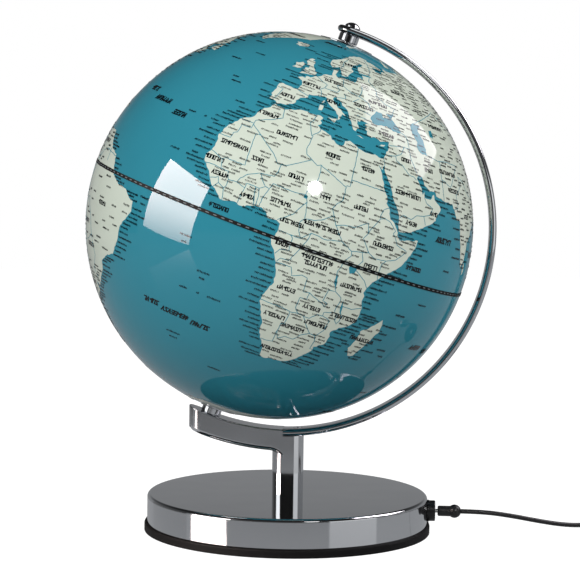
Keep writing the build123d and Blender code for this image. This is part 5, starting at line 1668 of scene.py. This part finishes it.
@dataclass
class Casting:
    """The chrome post with its short curved arm, in millimetres."""

    bow: Place = (0.0, 219.468)
    top_radius: float = 152.968
    top_steps: int = 28
    low_radius: float = 167.468
    low_steps: int = 24
    tip: float = -65.06
    tip_over: float = 0.02
    tip_round: float = 5.0
    round_steps: int = 10
    half_post: float = 10.25
    half_depth: float = 9.0
    corner: float = 8.9
    corner_steps: int = 14
    crook_start: float = -11.95
    crook_width: float = 8.2
    crook_drop: float = 4.9
    foot: float = DRUM_TOP
    post_top: float = 57.0
    post_over: float = 0.1
    block_height: float = 70.0
    top_edge: float = 1.0
    top_reach: float = 1.0
    low_edge: float = 3.1
    low_reach: float = 3.0
    edge_clear: Place = (0.1, 0.05)  # how far rounded edges stay off the rebate and the post
    seat: float = 130.5
    spot_radius: float = 6.7
    spot_depth: float = 10.0
    spot_sides: int = 64
    band_middle: Place = (-2.62, 197.08)
    band_radius: float = 135.06
    band_end: float = -3.1
    band_steps: int = 6
    beyond: float = 4.0  # how far outlines run past what cuts them
    skin: float = 0.04  # how far the post's back lies under the front

    def bowed(self, radius: float, x: float) -> float:
        """The height of one of the arm's two arcs at a place along it."""
        return self.bow[1] - math.sqrt(radius**2 - (x - self.bow[0]) ** 2)

    def upper(self) -> List[Place]:
        """The upper side from the tip to the band's rebate and along that.

        Returns:
            Its points, from west to east.
        """
        bows = spread(self.tip - self.tip_over, self.band_end, self.top_steps)
        seats = spread(self.band_end, self.half_post + self.beyond, self.band_steps)
        middle, height = self.band_middle
        sunk = [(x, height - math.sqrt(self.band_radius**2 - (x - middle) ** 2)) for x in seats]
        return [(x, self.bowed(self.top_radius, x)) for x in bows] + sunk

    def crook(self) -> List[Place]:
        """The bend from the post into the arm's lower side, which it meets without a kink.

        Returns:
            Its points, from the post to the arm.
        """
        start = (self.crook_start, self.bowed(self.low_radius, self.crook_start))
        chord = math.atan2(-self.crook_drop, self.crook_width)
        slope = math.asin(self.crook_start / self.low_radius)
        bend = 2 * (chord - slope)
        radius = math.hypot(self.crook_width, self.crook_drop) / 2 / math.sin(-bend / 2)
        middle = (start[0] + radius * math.sin(slope), start[1] - radius * math.cos(slope))
        first = math.degrees(slope) + 90
        return arc(middle, radius, first + math.degrees(bend), first, self.round_steps)

    def lower(self) -> List[Place]:
        """The lower side from the foot over the crook and back to the tip's rounding.

        Returns:
            Its points, from east to west.
        """
        reach = self.low_radius - self.tip_round
        across = self.tip - self.tip_over + self.tip_round
        hub = (across, self.bow[1] - math.sqrt(reach**2 - across**2))
        turn = math.degrees(math.atan2(hub[1] - self.bow[1], hub[0] - self.bow[0]))
        tip_round = arc(hub, self.tip_round, turn, -180, self.round_steps)
        bows = spread(self.crook_start, tip_round[0][0], self.low_steps)[1:-1]
        foot = self.foot - self.beyond
        posts = [(self.half_post + self.beyond, foot), (self.crook_start + self.crook_width, foot)]
        bow = [(x, self.bowed(self.low_radius, x)) for x in bows]
        return [*posts, *self.crook(), *bow, *tip_round]

    def plan(self, west: float, east: float, open_east: bool) -> List[Place]:
        """The outline seen from above, with rounded corners.

        Args:
            west: its end towards the tip.
            east: its end towards the band.
            open_east: whether the east end is square and lies under the front's skin.

        Returns:
            The outline's corners.
        """
        sunk = self.skin if open_east else 0.0
        deep = self.half_depth - self.corner - sunk
        near, far = west + self.corner, east - self.corner
        turns = [(near, deep, 90), (near, -deep, 180)]
        if not open_east:
            turns += [(far, -deep, 270), (far, deep, 0)]
        line: List[Place] = []
        for x, y, first in turns:
            line += arc((x, y), self.corner, first, first + 90, self.corner_steps)
        if open_east:
            line += [(east, 2 * sunk - self.half_depth), (east, self.half_depth - 2 * sunk)]
        return line

    def from_bow(self, middle: Vector) -> float:
        """How far an edge's middle lies from the middle of the arm's arcs."""
        return math.hypot(middle.x - self.bow[0], middle.z - self.bow[1])

    def topmost(self, middle: Vector) -> bool:
        """Whether an edge lies round the arm's upper side, outside the band's rebate."""
        near = self.from_bow(middle) < self.top_radius + self.top_reach
        return near and middle.x < self.band_end - self.edge_clear[0]

    def lowest(self, middle: Vector) -> bool:
        """Whether an edge lies round the arm's lower side, above the post's joint."""
        far = self.from_bow(middle) > self.top_radius + self.low_reach
        return far and middle.x < self.crook_start + self.crook_width - self.edge_clear[1]

    def upright(self, name: str, plan: Sequence[Place], height: float) -> Bench:
        """Draws a plan up from the post's foot.

        Args:
            name: the piece's name.
            plan: its outline seen from above.
            height: how high it goes.

        Returns:
            The piece on the bench.
        """
        bench = Bench.outline(name, [(x * MM, y * MM, self.foot * MM) for x, y in plan])
        bench.extrude((0, 0, height * MM))
        return bench

    def build(self, material: Material) -> Object:
        """Makes the casting: the arm with the post's front, and the post's rounded back corner.

        Args:
            material: its finish.

        Returns:
            The casting.
        """
        wide = self.half_depth + self.beyond
        side = self.upper() + self.lower()
        arm = Bench.outline("arm_casting", [(x * MM, -wide * MM, z * MM) for x, z in side])
        arm.extrude((0, 2 * wide * MM, 0))
        over = self.plan(self.tip, self.half_post, False)
        arm.combine(self.upright("block", over, self.block_height), "INTERSECT")
        arm.round_edges(self.low_edge * MM, self.lowest)
        arm.round_edges(self.top_edge * MM, self.topmost)
        facing = BALL_CENTRE - NORTH * self.seat * MM + NORTH * (self.spot_depth / 2) * MM
        tilt = (0, BALL_TILT, 0)
        arm.drill(self.spot_radius * MM, self.spot_depth * MM, facing, tilt, self.spot_sides)
        back = self.plan(-self.half_post, self.corner - self.half_post + self.post_over, True)
        arm.join(self.upright("post", back, self.post_top - self.foot))
        arm.smooth(40, flats=True)
        return arm.hand_over(Body.STAND, Slot.CHROME_CASTING, material, ["arm_post"])


@dataclass
class Band:
    """The chrome meridian band with full-round edges, in millimetres."""

    middle: Place = (-2.623, 197.084)
    seat: float = 131.1
    thick: float = 4.4
    half_width: float = 9.0
    edge_steps: int = 10
    sweep: float = 160.665
    steps: int = 144
    flat: float = 5.0
    end_steps: int = 32
    screw: Point = (6.2, 0.0, 66.774)
    screw_radius: float = 3.05
    screw_depth: float = 3.0

    def section(self, foot: Vector, half: bool) -> List[Vector]:
        """The band's section across its length.

        Args:
            foot: the middle of its inner side, in metres.
            half: whether only its back half is drawn.

        Returns:
            The section's corners.
        """
        edge = self.thick / 2
        reach = self.half_width - edge
        back = arc((edge, reach), edge, 0, 180, self.edge_steps)
        front = arc((edge, -reach), edge, 180, 360, self.edge_steps)
        line = [(self.thick, 0.0), *back, (0.0, 0.0)] if half else back + front
        return [foot + (NORTH * out + Vector((0, along, 0))) * MM for out, along in line]

    def build(self, material: Material) -> Object:
        """Bends the band, adds its flat seat with the round end, and sinks its screw.

        Args:
            material: the band's finish.

        Returns:
            The band.
        """
        outward = Vector((NORTH.z, 0, -NORTH.x))
        seat = BALL_CENTRE + NORTH * self.seat * MM
        bend = seat + outward * self.flat * MM
        band = Bench.outline("band", self.section(bend, False))
        middle = (self.middle[0] * MM, 0, self.middle[1] * MM)
        band.spin(self.steps, math.radians(-self.sweep), middle, (0, 1, 0))
        band.drill(self.screw_radius * MM, self.screw_depth * MM, Vector(self.screw) * MM)
        straight = Bench.outline("straight", self.section(seat, False))
        straight.extrude(outward * self.flat * MM)
        end = Bench.outline("end", self.section(seat, True))
        end.spin(self.end_steps, -math.pi, seat, NORTH)
        band.join(straight, end)
        band.smooth(40)
        return band.hand_over(Body.STAND, Slot.CHROME_BAND, material, ["meridian_band"])


@dataclass
class BallShell:
    """The two glossy halves of the ball."""

    wall: float = 2.0 * MM
    segments: int = 192
    rings: int = 96
    north_hole: float = 6.1 * MM
    south_hole: float = 8.1 * MM

    def half(
        self, name: str, side: float, hole: float, node: str, material: Material
    ) -> None:
        """Makes one half with its pole hole and its wall.

        Args:
            name: the piece's name.
            side: one for the north, minus one for the south.
            hole: the pole hole's radius.
            node: the frame's node that it stands for.
            material: its finish.
        """
        bench = Bench.primitive(
            name,
            bpy.ops.mesh.primitive_uv_sphere_add,
            segments=self.segments,
            ring_count=self.rings,
            radius=BALL_RADIUS,
        )
        bench.open()
        bench.cut((0, 0, 0), (0, 0, side), inner=True)
        height = math.sqrt(BALL_RADIUS**2 - hole**2)
        bench.cut((0, 0, side * height), (0, 0, side), outer=True)
        bench.close()
        bench.apply("SOLIDIFY", thickness=self.wall, offset=-1.0)
        bench.settle((0, BALL_TILT, 0), BALL_CENTRE)
        bench.smooth(40)
        bench.hand_over(Body.GLOBE, Slot.MAP_PRINT, material, [node])

    def build(self, material: Material) -> None:
        """Makes both halves in the sea's finish."""
        self.half("ball_north", 1.0, self.north_hole, "north_hemisphere", material)
        self.half("ball_south", -1.0, self.south_hole, "south_hemisphere", material)


@dataclass
class MapPrint:
    """The printed map, laid on the ball as thin films, in degrees and millimetres."""

    front: float = 7.3  # the longitude that faces the front
    cell: int = 3
    grid_lons: Tuple[int, int] = (-180, 193)
    grid_lats: Tuple[int, int] = (-81, 84)
    land_lift: float = 0.12
    line_lift: float = 0.16
    mark_lift: float = 0.19
    film: float = 0.04
    weld: float = 0.0005
    facing_out: float = 0.7
    border_width: float = 0.40
    north_edge: float = 81.8
    south_edge: float = -80.4
    coast_step: float = 0.8
    coast_wander: float = 0.12
    border_wander: float = 0.05
    most_stray: float = 0.25
    seed: int = 11

    def __post_init__(self) -> None:
        """Starts the dice that roughen coasts and place marks."""
        self.dice = random.Random(self.seed)

    def on_ball(self, lon: float, lat: float, lift: float) -> Point:
        """The point of the upright ball at a place of the map.

        Args:
            lon: the longitude, in degrees.
            lat: the latitude, in degrees.
            lift: how far the film lies above the ball, in millimetres.

        Returns:
            The point, in metres.
        """
        turn, rise = math.radians(lon - self.front), math.radians(lat)
        reach = BALL_RADIUS + lift * MM
        flat = reach * math.cos(rise)
        return (flat * math.sin(turn), -flat * math.cos(turn), reach * math.sin(rise))

    def roughen(self, line: Sequence[Place], closed: bool, wander: float) -> List[Place]:
        """Gives a drawn line the small turns of a coast or a river.

        Args:
            line: the drawn points.
            closed: whether it is an outline.
            wander: how far a new point strays, in degrees.

        Returns:
            The finer line.
        """
        finer: List[Place] = []
        for a, b in sides_of(line) if closed else zip(line, line[1:]):
            across, up = b[0] - a[0], b[1] - a[1]
            shrink = math.cos(math.radians((a[1] + b[1]) / 2))
            span = math.hypot(across * shrink, up)
            parts = max(1, round(span / self.coast_step))
            finer.append(a)
            for part in range(1, parts):
                stray = self.dice.gauss(0.0, wander)
                stray = max(-self.most_stray, min(self.most_stray, stray))
                lon = a[0] + across * part / parts - up / span * stray / shrink
                lat = a[1] + up * part / parts + across * shrink / span * stray
                finer.append((lon, lat))
        return finer if closed else [*finer, line[-1]]

    def wrap(self, bench: Bench, lift: float) -> None:
        """Lays a flat film on the ball and gives it its thickness.

        Args:
            bench: the film, in degrees.
            lift: how far it lies above the ball, in millimetres.
        """
        for vertex in bench.obj.data.vertices:
            vertex.co = self.on_ball(vertex.co.x, vertex.co.y, lift)
        bench.open()
        bpy.ops.mesh.remove_doubles(threshold=self.weld * MM)
        bench.close()
        bench.apply("SOLIDIFY", thickness=self.film * MM, offset=-1.0)
        bench.settle((0, BALL_TILT, 0), BALL_CENTRE)
        self.round_off(bench.obj.data)

    def round_off(self, mesh: bpy.types.Mesh) -> None:
        """Shades a film as round as the ball under it.

        Args:
            mesh: the film's mesh.
        """
        normals: List[Vector] = []
        for face in mesh.polygons:
            facing = face.normal.dot((face.center - BALL_CENTRE).normalized())
            flat = abs(facing) > self.facing_out
            for number in face.loop_indices:
                corner = mesh.vertices[mesh.loops[number].vertex_index].co
                out = (corner - BALL_CENTRE).normalized()
                normals.append(out * math.copysign(1.0, facing) if flat else face.normal)
        mesh.polygons.foreach_set("use_smooth", [True] * len(mesh.polygons))
        mesh.normals_split_custom_set(normals)

    def filled(self, name: str, outlines: Sequence[Sequence[Place]], lift: float) -> Bench:
        """Makes a film of filled outlines.

        Args:
            name: the piece's name.
            outlines: the outlines, in degrees.
            lift: how far it lies above the ball, in millimetres.

        Returns:
            The film on the bench.
        """
        verts: List[Point] = []
        faces: List[List[int]] = []
        for outline in outlines:
            faces.append(list(range(len(verts), len(verts) + len(outline))))
            verts += [(lon, lat, 0.0) for lon, lat in anticlockwise(outline)]
        bench = Bench.flat(name, verts, faces)
        bench.open()
        bpy.ops.mesh.quads_convert_to_tris(quad_method="BEAUTY", ngon_method="BEAUTY")
        bench.cut((0, self.north_edge, 0), (0, 1, 0), outer=True)
        bench.cut((0, self.south_edge, 0), (0, 1, 0), inner=True)
        for lon in range(*self.grid_lons, self.cell):
            bench.cut((lon, 0, 0), (1, 0, 0))
        for lat in range(*self.grid_lats, self.cell):
            bench.cut((0, lat, 0), (0, 1, 0))
        bench.close()
        self.wrap(bench, lift)
        return bench

    def ribbons(
        self, name: str, lines: Sequence[Sequence[Place]], width: float, lift: float
    ) -> Bench:
        """Makes a film of drawn lines.

        Args:
            name: the piece's name.
            lines: the lines, in degrees.
            width: their width, in millimetres.
            lift: how far they lie above the ball, in millimetres.

        Returns:
            The film on the bench.
        """
        verts: List[Point] = []
        faces: List[List[int]] = []
        half = width / 2 / MM_PER_DEGREE
        for line in lines:
            first = len(verts)
            for number, (lon, lat) in enumerate(line):
                before, after = line[max(number - 1, 0)], line[min(number + 1, len(line) - 1)]
                shrink = math.cos(math.radians(lat))
                across, up = (after[0] - before[0]) * shrink, after[1] - before[1]
                span = math.hypot(across, up)
                side = (-up / span * half / shrink, across / span * half)
                verts += [(lon - side[0], lat - side[1], 0.0), (lon + side[0], lat + side[1], 0.0)]
            for number in range(len(line) - 1):
                at = first + 2 * number
                faces.append([at, at + 2, at + 3, at + 1])
        bench = Bench.flat(name, verts, faces)
        self.wrap(bench, lift)
        return bench

    def build(self, sea: Material) -> None:
        """Makes the land, the waters, the borders and the marks.

        Args:
            sea: the finish that waters and borders share with the ball.
        """
        lands = {name: places(text) for name, text in LANDS.items()}
        coasts = [self.roughen(line, True, self.coast_wander) for line in lands.values()]
        shores = [self.roughen(places(text), True, self.coast_wander) for text in WATERS.values()]
        borders = [
            self.roughen(places(text), False, self.border_wander) for text in BORDERS.split("|")
        ]
        films = [
            (self.filled("map_land", coasts, self.land_lift), LAND.material()),
            (self.filled("map_waters", shores, self.line_lift), sea),
            (self.ribbons("map_borders", borders, self.border_width, self.line_lift), sea),
        ]
        words = Wording(self, lands)
        words.write()
        black = MARKS.material()
        for part, box in MARK_PARTS.items():
            films.append((words.film(f"map_marks_{part}", box, self.mark_lift), black))
        for bench, material in films:
            bench.hand_over(Body.GLOBE, Slot.MAP_PRINT, material)


# Made-up signs: the strokes of each, by both ends, in shares of the sign's height.
SIGNS: Sequence[Sequence[Stroke]] = (
    ((0.6, 0, 0.6, 1), (0, 1, 0.6, 1)),
    ((0, 0, 0, 1), (0.6, 0, 0.6, 1), (0, 1, 0.6, 1)),
    ((0, 0, 0.3, 1), (0.3, 1, 0.6, 0)),
    ((0, 0, 0, 1), (0.6, 0, 0.6, 1), (0, 1, 0.6, 1), (0, 0, 0.6, 0)),
    ((0.6, 0, 0.6, 1), (0.6, 1, 0.05, 0.7), (0.05, 0.7, 0.6, 0.45)),
    ((0.3, 0, 0.3, 1), (0, 0.35, 0.6, 0.35), (0, 0.75, 0.6, 0.75)),
    ((0.6, 0, 0.6, 1), (0, 0, 0, 0.6), (0, 0, 0.6, 0)),
    ((0, 1, 0.6, 1), (0, 1, 0.6, 0), (0, 0, 0.6, 0)),
    ((0.3, 0.5, 0.3, 1), (0.3, 0.5, 0, 0), (0.3, 0.5, 0.6, 0)),
    ((0.6, 0, 0.6, 1), (0, 1, 0.6, 1), (0.1, 0.5, 0.6, 0.5), (0, 0, 0.6, 0)),
)
SMALL_SIGNS: Sequence[Sequence[Stroke]] = (
    ((0.1, 0, 0.1, 0.7), (0.5, 0, 0.5, 0.7)),
    ((0.3, 0, 0.3, 1), (0, 0.6, 0.6, 0.6)),
    ((0, 0, 0.3, 0.7), (0.3, 0.7, 0.6, 0)),
    ((0.55, 0, 0.55, 1), (0.1, 0.1, 0.1, 0.65)),
    ((0, 0.65, 0.5, 0.65), (0.45, 0.65, 0.1, 0)),
    ((0.3, 0, 0.3, 0.7),),
)


@dataclass(frozen=True)
class Hand:
    """One kind of lettering: its height in millimetres, and the rest in shares of that."""

    tall: float
    heavy: float
    signs: Sequence[Sequence[Stroke]] = SMALL_SIGNS
    slant: float = 0.0


class Wording:
    """Rows of small strokes where the printed map has its words, with nothing to read in them."""

    HANDS = {
        "town": Hand(1.05, 0.25),
        "coast": Hand(1.1, 0.26),
        "country": Hand(2.15, 0.29, SIGNS),
        "sea": Hand(2.75, 0.3, SIGNS, 0.35),
    }
    PITCH = 0.86  # from sign to sign, in shares of the height
    GAP = 0.22  # round a word, in the same
    STRIDE = 0.5  # along a coast, in degrees
    OFFSHORE = 0.5
    LEAST_OUTWARD = 0.3  # below this a coast runs too level for names beside it
    COAST_LIMIT = 66  # the last latitude with names
    COAST_SIGNS = (6, 14)  # fewest and most
    TOWN_LIMIT = 68
    TOWN_SIGNS = (5, 9)
    TOWN_TRIES = 1.1  # for a square degree
    NO_TOWNS = "antarctica"

    def __init__(self, print_: MapPrint, lands: Dict[str, List[Place]]) -> None:
        """Starts with nothing written yet.

        Args:
            print_: the map that the words stand on.
            lands: the drawn coasts, by the lands' names.
        """
        self.print = print_
        self.dice = print_.dice
        self.lands = lands
        self.taken: List[Box] = []
        self.strokes: List[List[Point]] = []

    def free(self, box: Box) -> bool:
        """Whether a box of the map is still bare.

        Args:
            box: its west, south, east and north edges.

        Returns:
            True where no word touches it.
        """
        west, south, east, north = box
        return not any(
            west < other[2] and east > other[0] and south < other[3] and north > other[1]
            for other in self.taken
        )

    def stroke(self, place: Place, ends: Stroke, heavy: float) -> None:
        """Adds one small stroke.

        Args:
            place: the longitude and latitude that it is measured from.
            ends: its two ends east and north of there, in millimetres.
            heavy: its width, in millimetres.
        """
        lon, lat = place
        start, end = Vector(ends[:2]), Vector(ends[2:])
        along = (end - start).normalized() * heavy / 2
        side = Vector((-along.y, along.x))
        shrink = math.cos(math.radians(lat))
        self.strokes.append([
            (lon + corner.x / MM_PER_DEGREE / shrink, lat + corner.y / MM_PER_DEGREE, 0.0)
            for corner in (
                start - along - side, end + along - side, end + along + side, start - along + side
            )
        ])

    def word(self, lon: float, lat: float, count: int, kind: str, anchor: float = 0.5) -> bool:
        """Adds one row of signs, if the place is bare.

        Args:
            lon: the longitude of the row's anchor.
            lat: the latitude of the row's middle.
            count: how many signs it has.
            kind: which kind of word it is.
            anchor: where the anchor lies along the row, from zero to one.

        Returns:
            True where the row was added.
        """
        hand = self.HANDS[kind]
        tall, slant = hand.tall, hand.slant
        pitch, shrink = self.PITCH * tall, math.cos(math.radians(lat))
        wide = pitch * count / MM_PER_DEGREE / shrink
        half = tall / 2 / MM_PER_DEGREE
        west, south = lon - wide * anchor, lat - half
        gap = self.GAP * tall / MM_PER_DEGREE
        box = (west - 2 * gap, south - gap, west + wide + 2 * gap, lat + half + gap)
        if not self.free(box):
            return False
        self.taken.append(box)
        for number in range(count):
            at = pitch * number
            for x0, y0, x1, y1 in self.dice.choice(hand.signs):
                first, last = at + tall * (x0 + slant * y0), at + tall * (x1 + slant * y1)
                self.stroke((west, south), (first, tall * y0, last, tall * y1), hand.heavy * tall)
        return True

    def along_coast(self, outline: Sequence[Place], every: float) -> None:
        """Adds the names of ports, which run out over the sea.

        Args:
            outline: the drawn coast.
            every: how far apart they are, in degrees.
        """
        walked = 0.0
        for a, b in sides_of(anticlockwise(outline)):
            across, up = b[0] - a[0], b[1] - a[1]
            span = math.hypot(across, up)
            parts = max(1, round(span / self.STRIDE))
            outward = up / max(span, 0.01)
            barred = abs(outward) < self.LEAST_OUTWARD or abs(a[1]) > self.COAST_LIMIT
            for part in range(parts):
                walked += span / parts
                if walked < every or barred:
                    continue
                lon = a[0] + across * part / parts + math.copysign(self.OFFSHORE, outward)
                lat = a[1] + up * part / parts
                count = self.dice.randint(*self.COAST_SIGNS)
                if self.word(lon, lat, count, "coast", 0.0 if outward > 0 else 1.0):
                    walked = 0.0

    def settled(self, lon: float, lat: float) -> bool:
        """Whether a place gets a town's name, which deserts and forests mostly lack.

        Args:
            lon: its longitude.
            lat: its latitude.

        Returns:
            True where the dice let the name stand.
        """
        shares = [
            share
            for west, south, east, north, share in EMPTY_LANDS
            if west < lon < east and south < lat < north
        ]
        return self.dice.random() < min(shares, default=1.0)

    def over_land(self, outline: Sequence[Place]) -> None:
        """Adds the names of towns.

        Args:
            outline: the drawn coast.
        """
        lons, lats = zip(*outline)
        for _ in range(int(abs(signed_area(outline)) * self.TOWN_TRIES)):
            lon = self.dice.uniform(min(lons), max(lons))
            lat = self.dice.uniform(min(lats), max(lats))
            on_land = abs(lat) < self.TOWN_LIMIT and inside(outline, lon, lat)
            if on_land and self.settled(lon, lat):
                self.word(lon, lat, self.dice.randint(*self.TOWN_SIGNS), "town")

    def write(self) -> None:
        """Writes every word, the large ones first."""
        for kind, table in (("sea", SEA_WORDS), ("country", COUNTRY_WORDS), ("coast", NOTE_WORDS)):
            for lon, lat, count in places(table):
                self.word(lon, lat, int(count), kind)
        for name, every in COAST_WORDS.items():
            self.along_coast(self.lands[name], every)
        for name, outline in self.lands.items():
            if name != self.NO_TOWNS:
                self.over_land(outline)

    def film(self, name: str, box: Box, lift: float) -> Bench:
        """Makes the film of one part of the ball.

        Args:
            name: the piece's name.
            box: the part's west, south, east and north edges.
            lift: how far it lies above the ball, in millimetres.

        Returns:
            The film on the bench.
        """
        west, south, east, north = box
        kept = [
            corners for corners in self.strokes
            if west <= corners[0][0] < east and south <= corners[0][1] < north
        ]
        verts = [corner for corners in kept for corner in corners]
        bench = Bench.flat(name, verts, [range(4 * at, 4 * at + 4) for at in range(len(kept))])
        self.print.wrap(bench, lift)
        return bench


def main() -> None:
    """Builds the globe's pieces in order."""
    logging.basicConfig(level=logging.INFO, format="%(name)s %(message)s")
    studio = Studio()
    studio.build()
    finishes = {slot: finish.material() for slot, finish in WARDROBE.items()}
    Lead().build(finishes)
    drum = BaseCover().build(finishes[Slot.CHROME_BASE])
    metal = [Casting().build(finishes[Slot.CHROME_CASTING])]
    band = Band().build(finishes[Slot.CHROME_BAND])
    BallShell().build(finishes[Slot.MAP_PRINT])
    MapPrint().build(finishes[Slot.MAP_PRINT])
    for name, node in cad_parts.items():
        LOG.info("node %s wears %s", name, node.material_slots[0].name)
        slot = Slot(node.material_slots[0].name.split(".")[0])
        node.material_slots[0].material = finishes[slot]
        if slot is Slot.CHROME_FITTINGS:
            metal.append(node)
    studio.dim_for_metal(drum, band, metal)


if __name__ == "__main__":
    main()
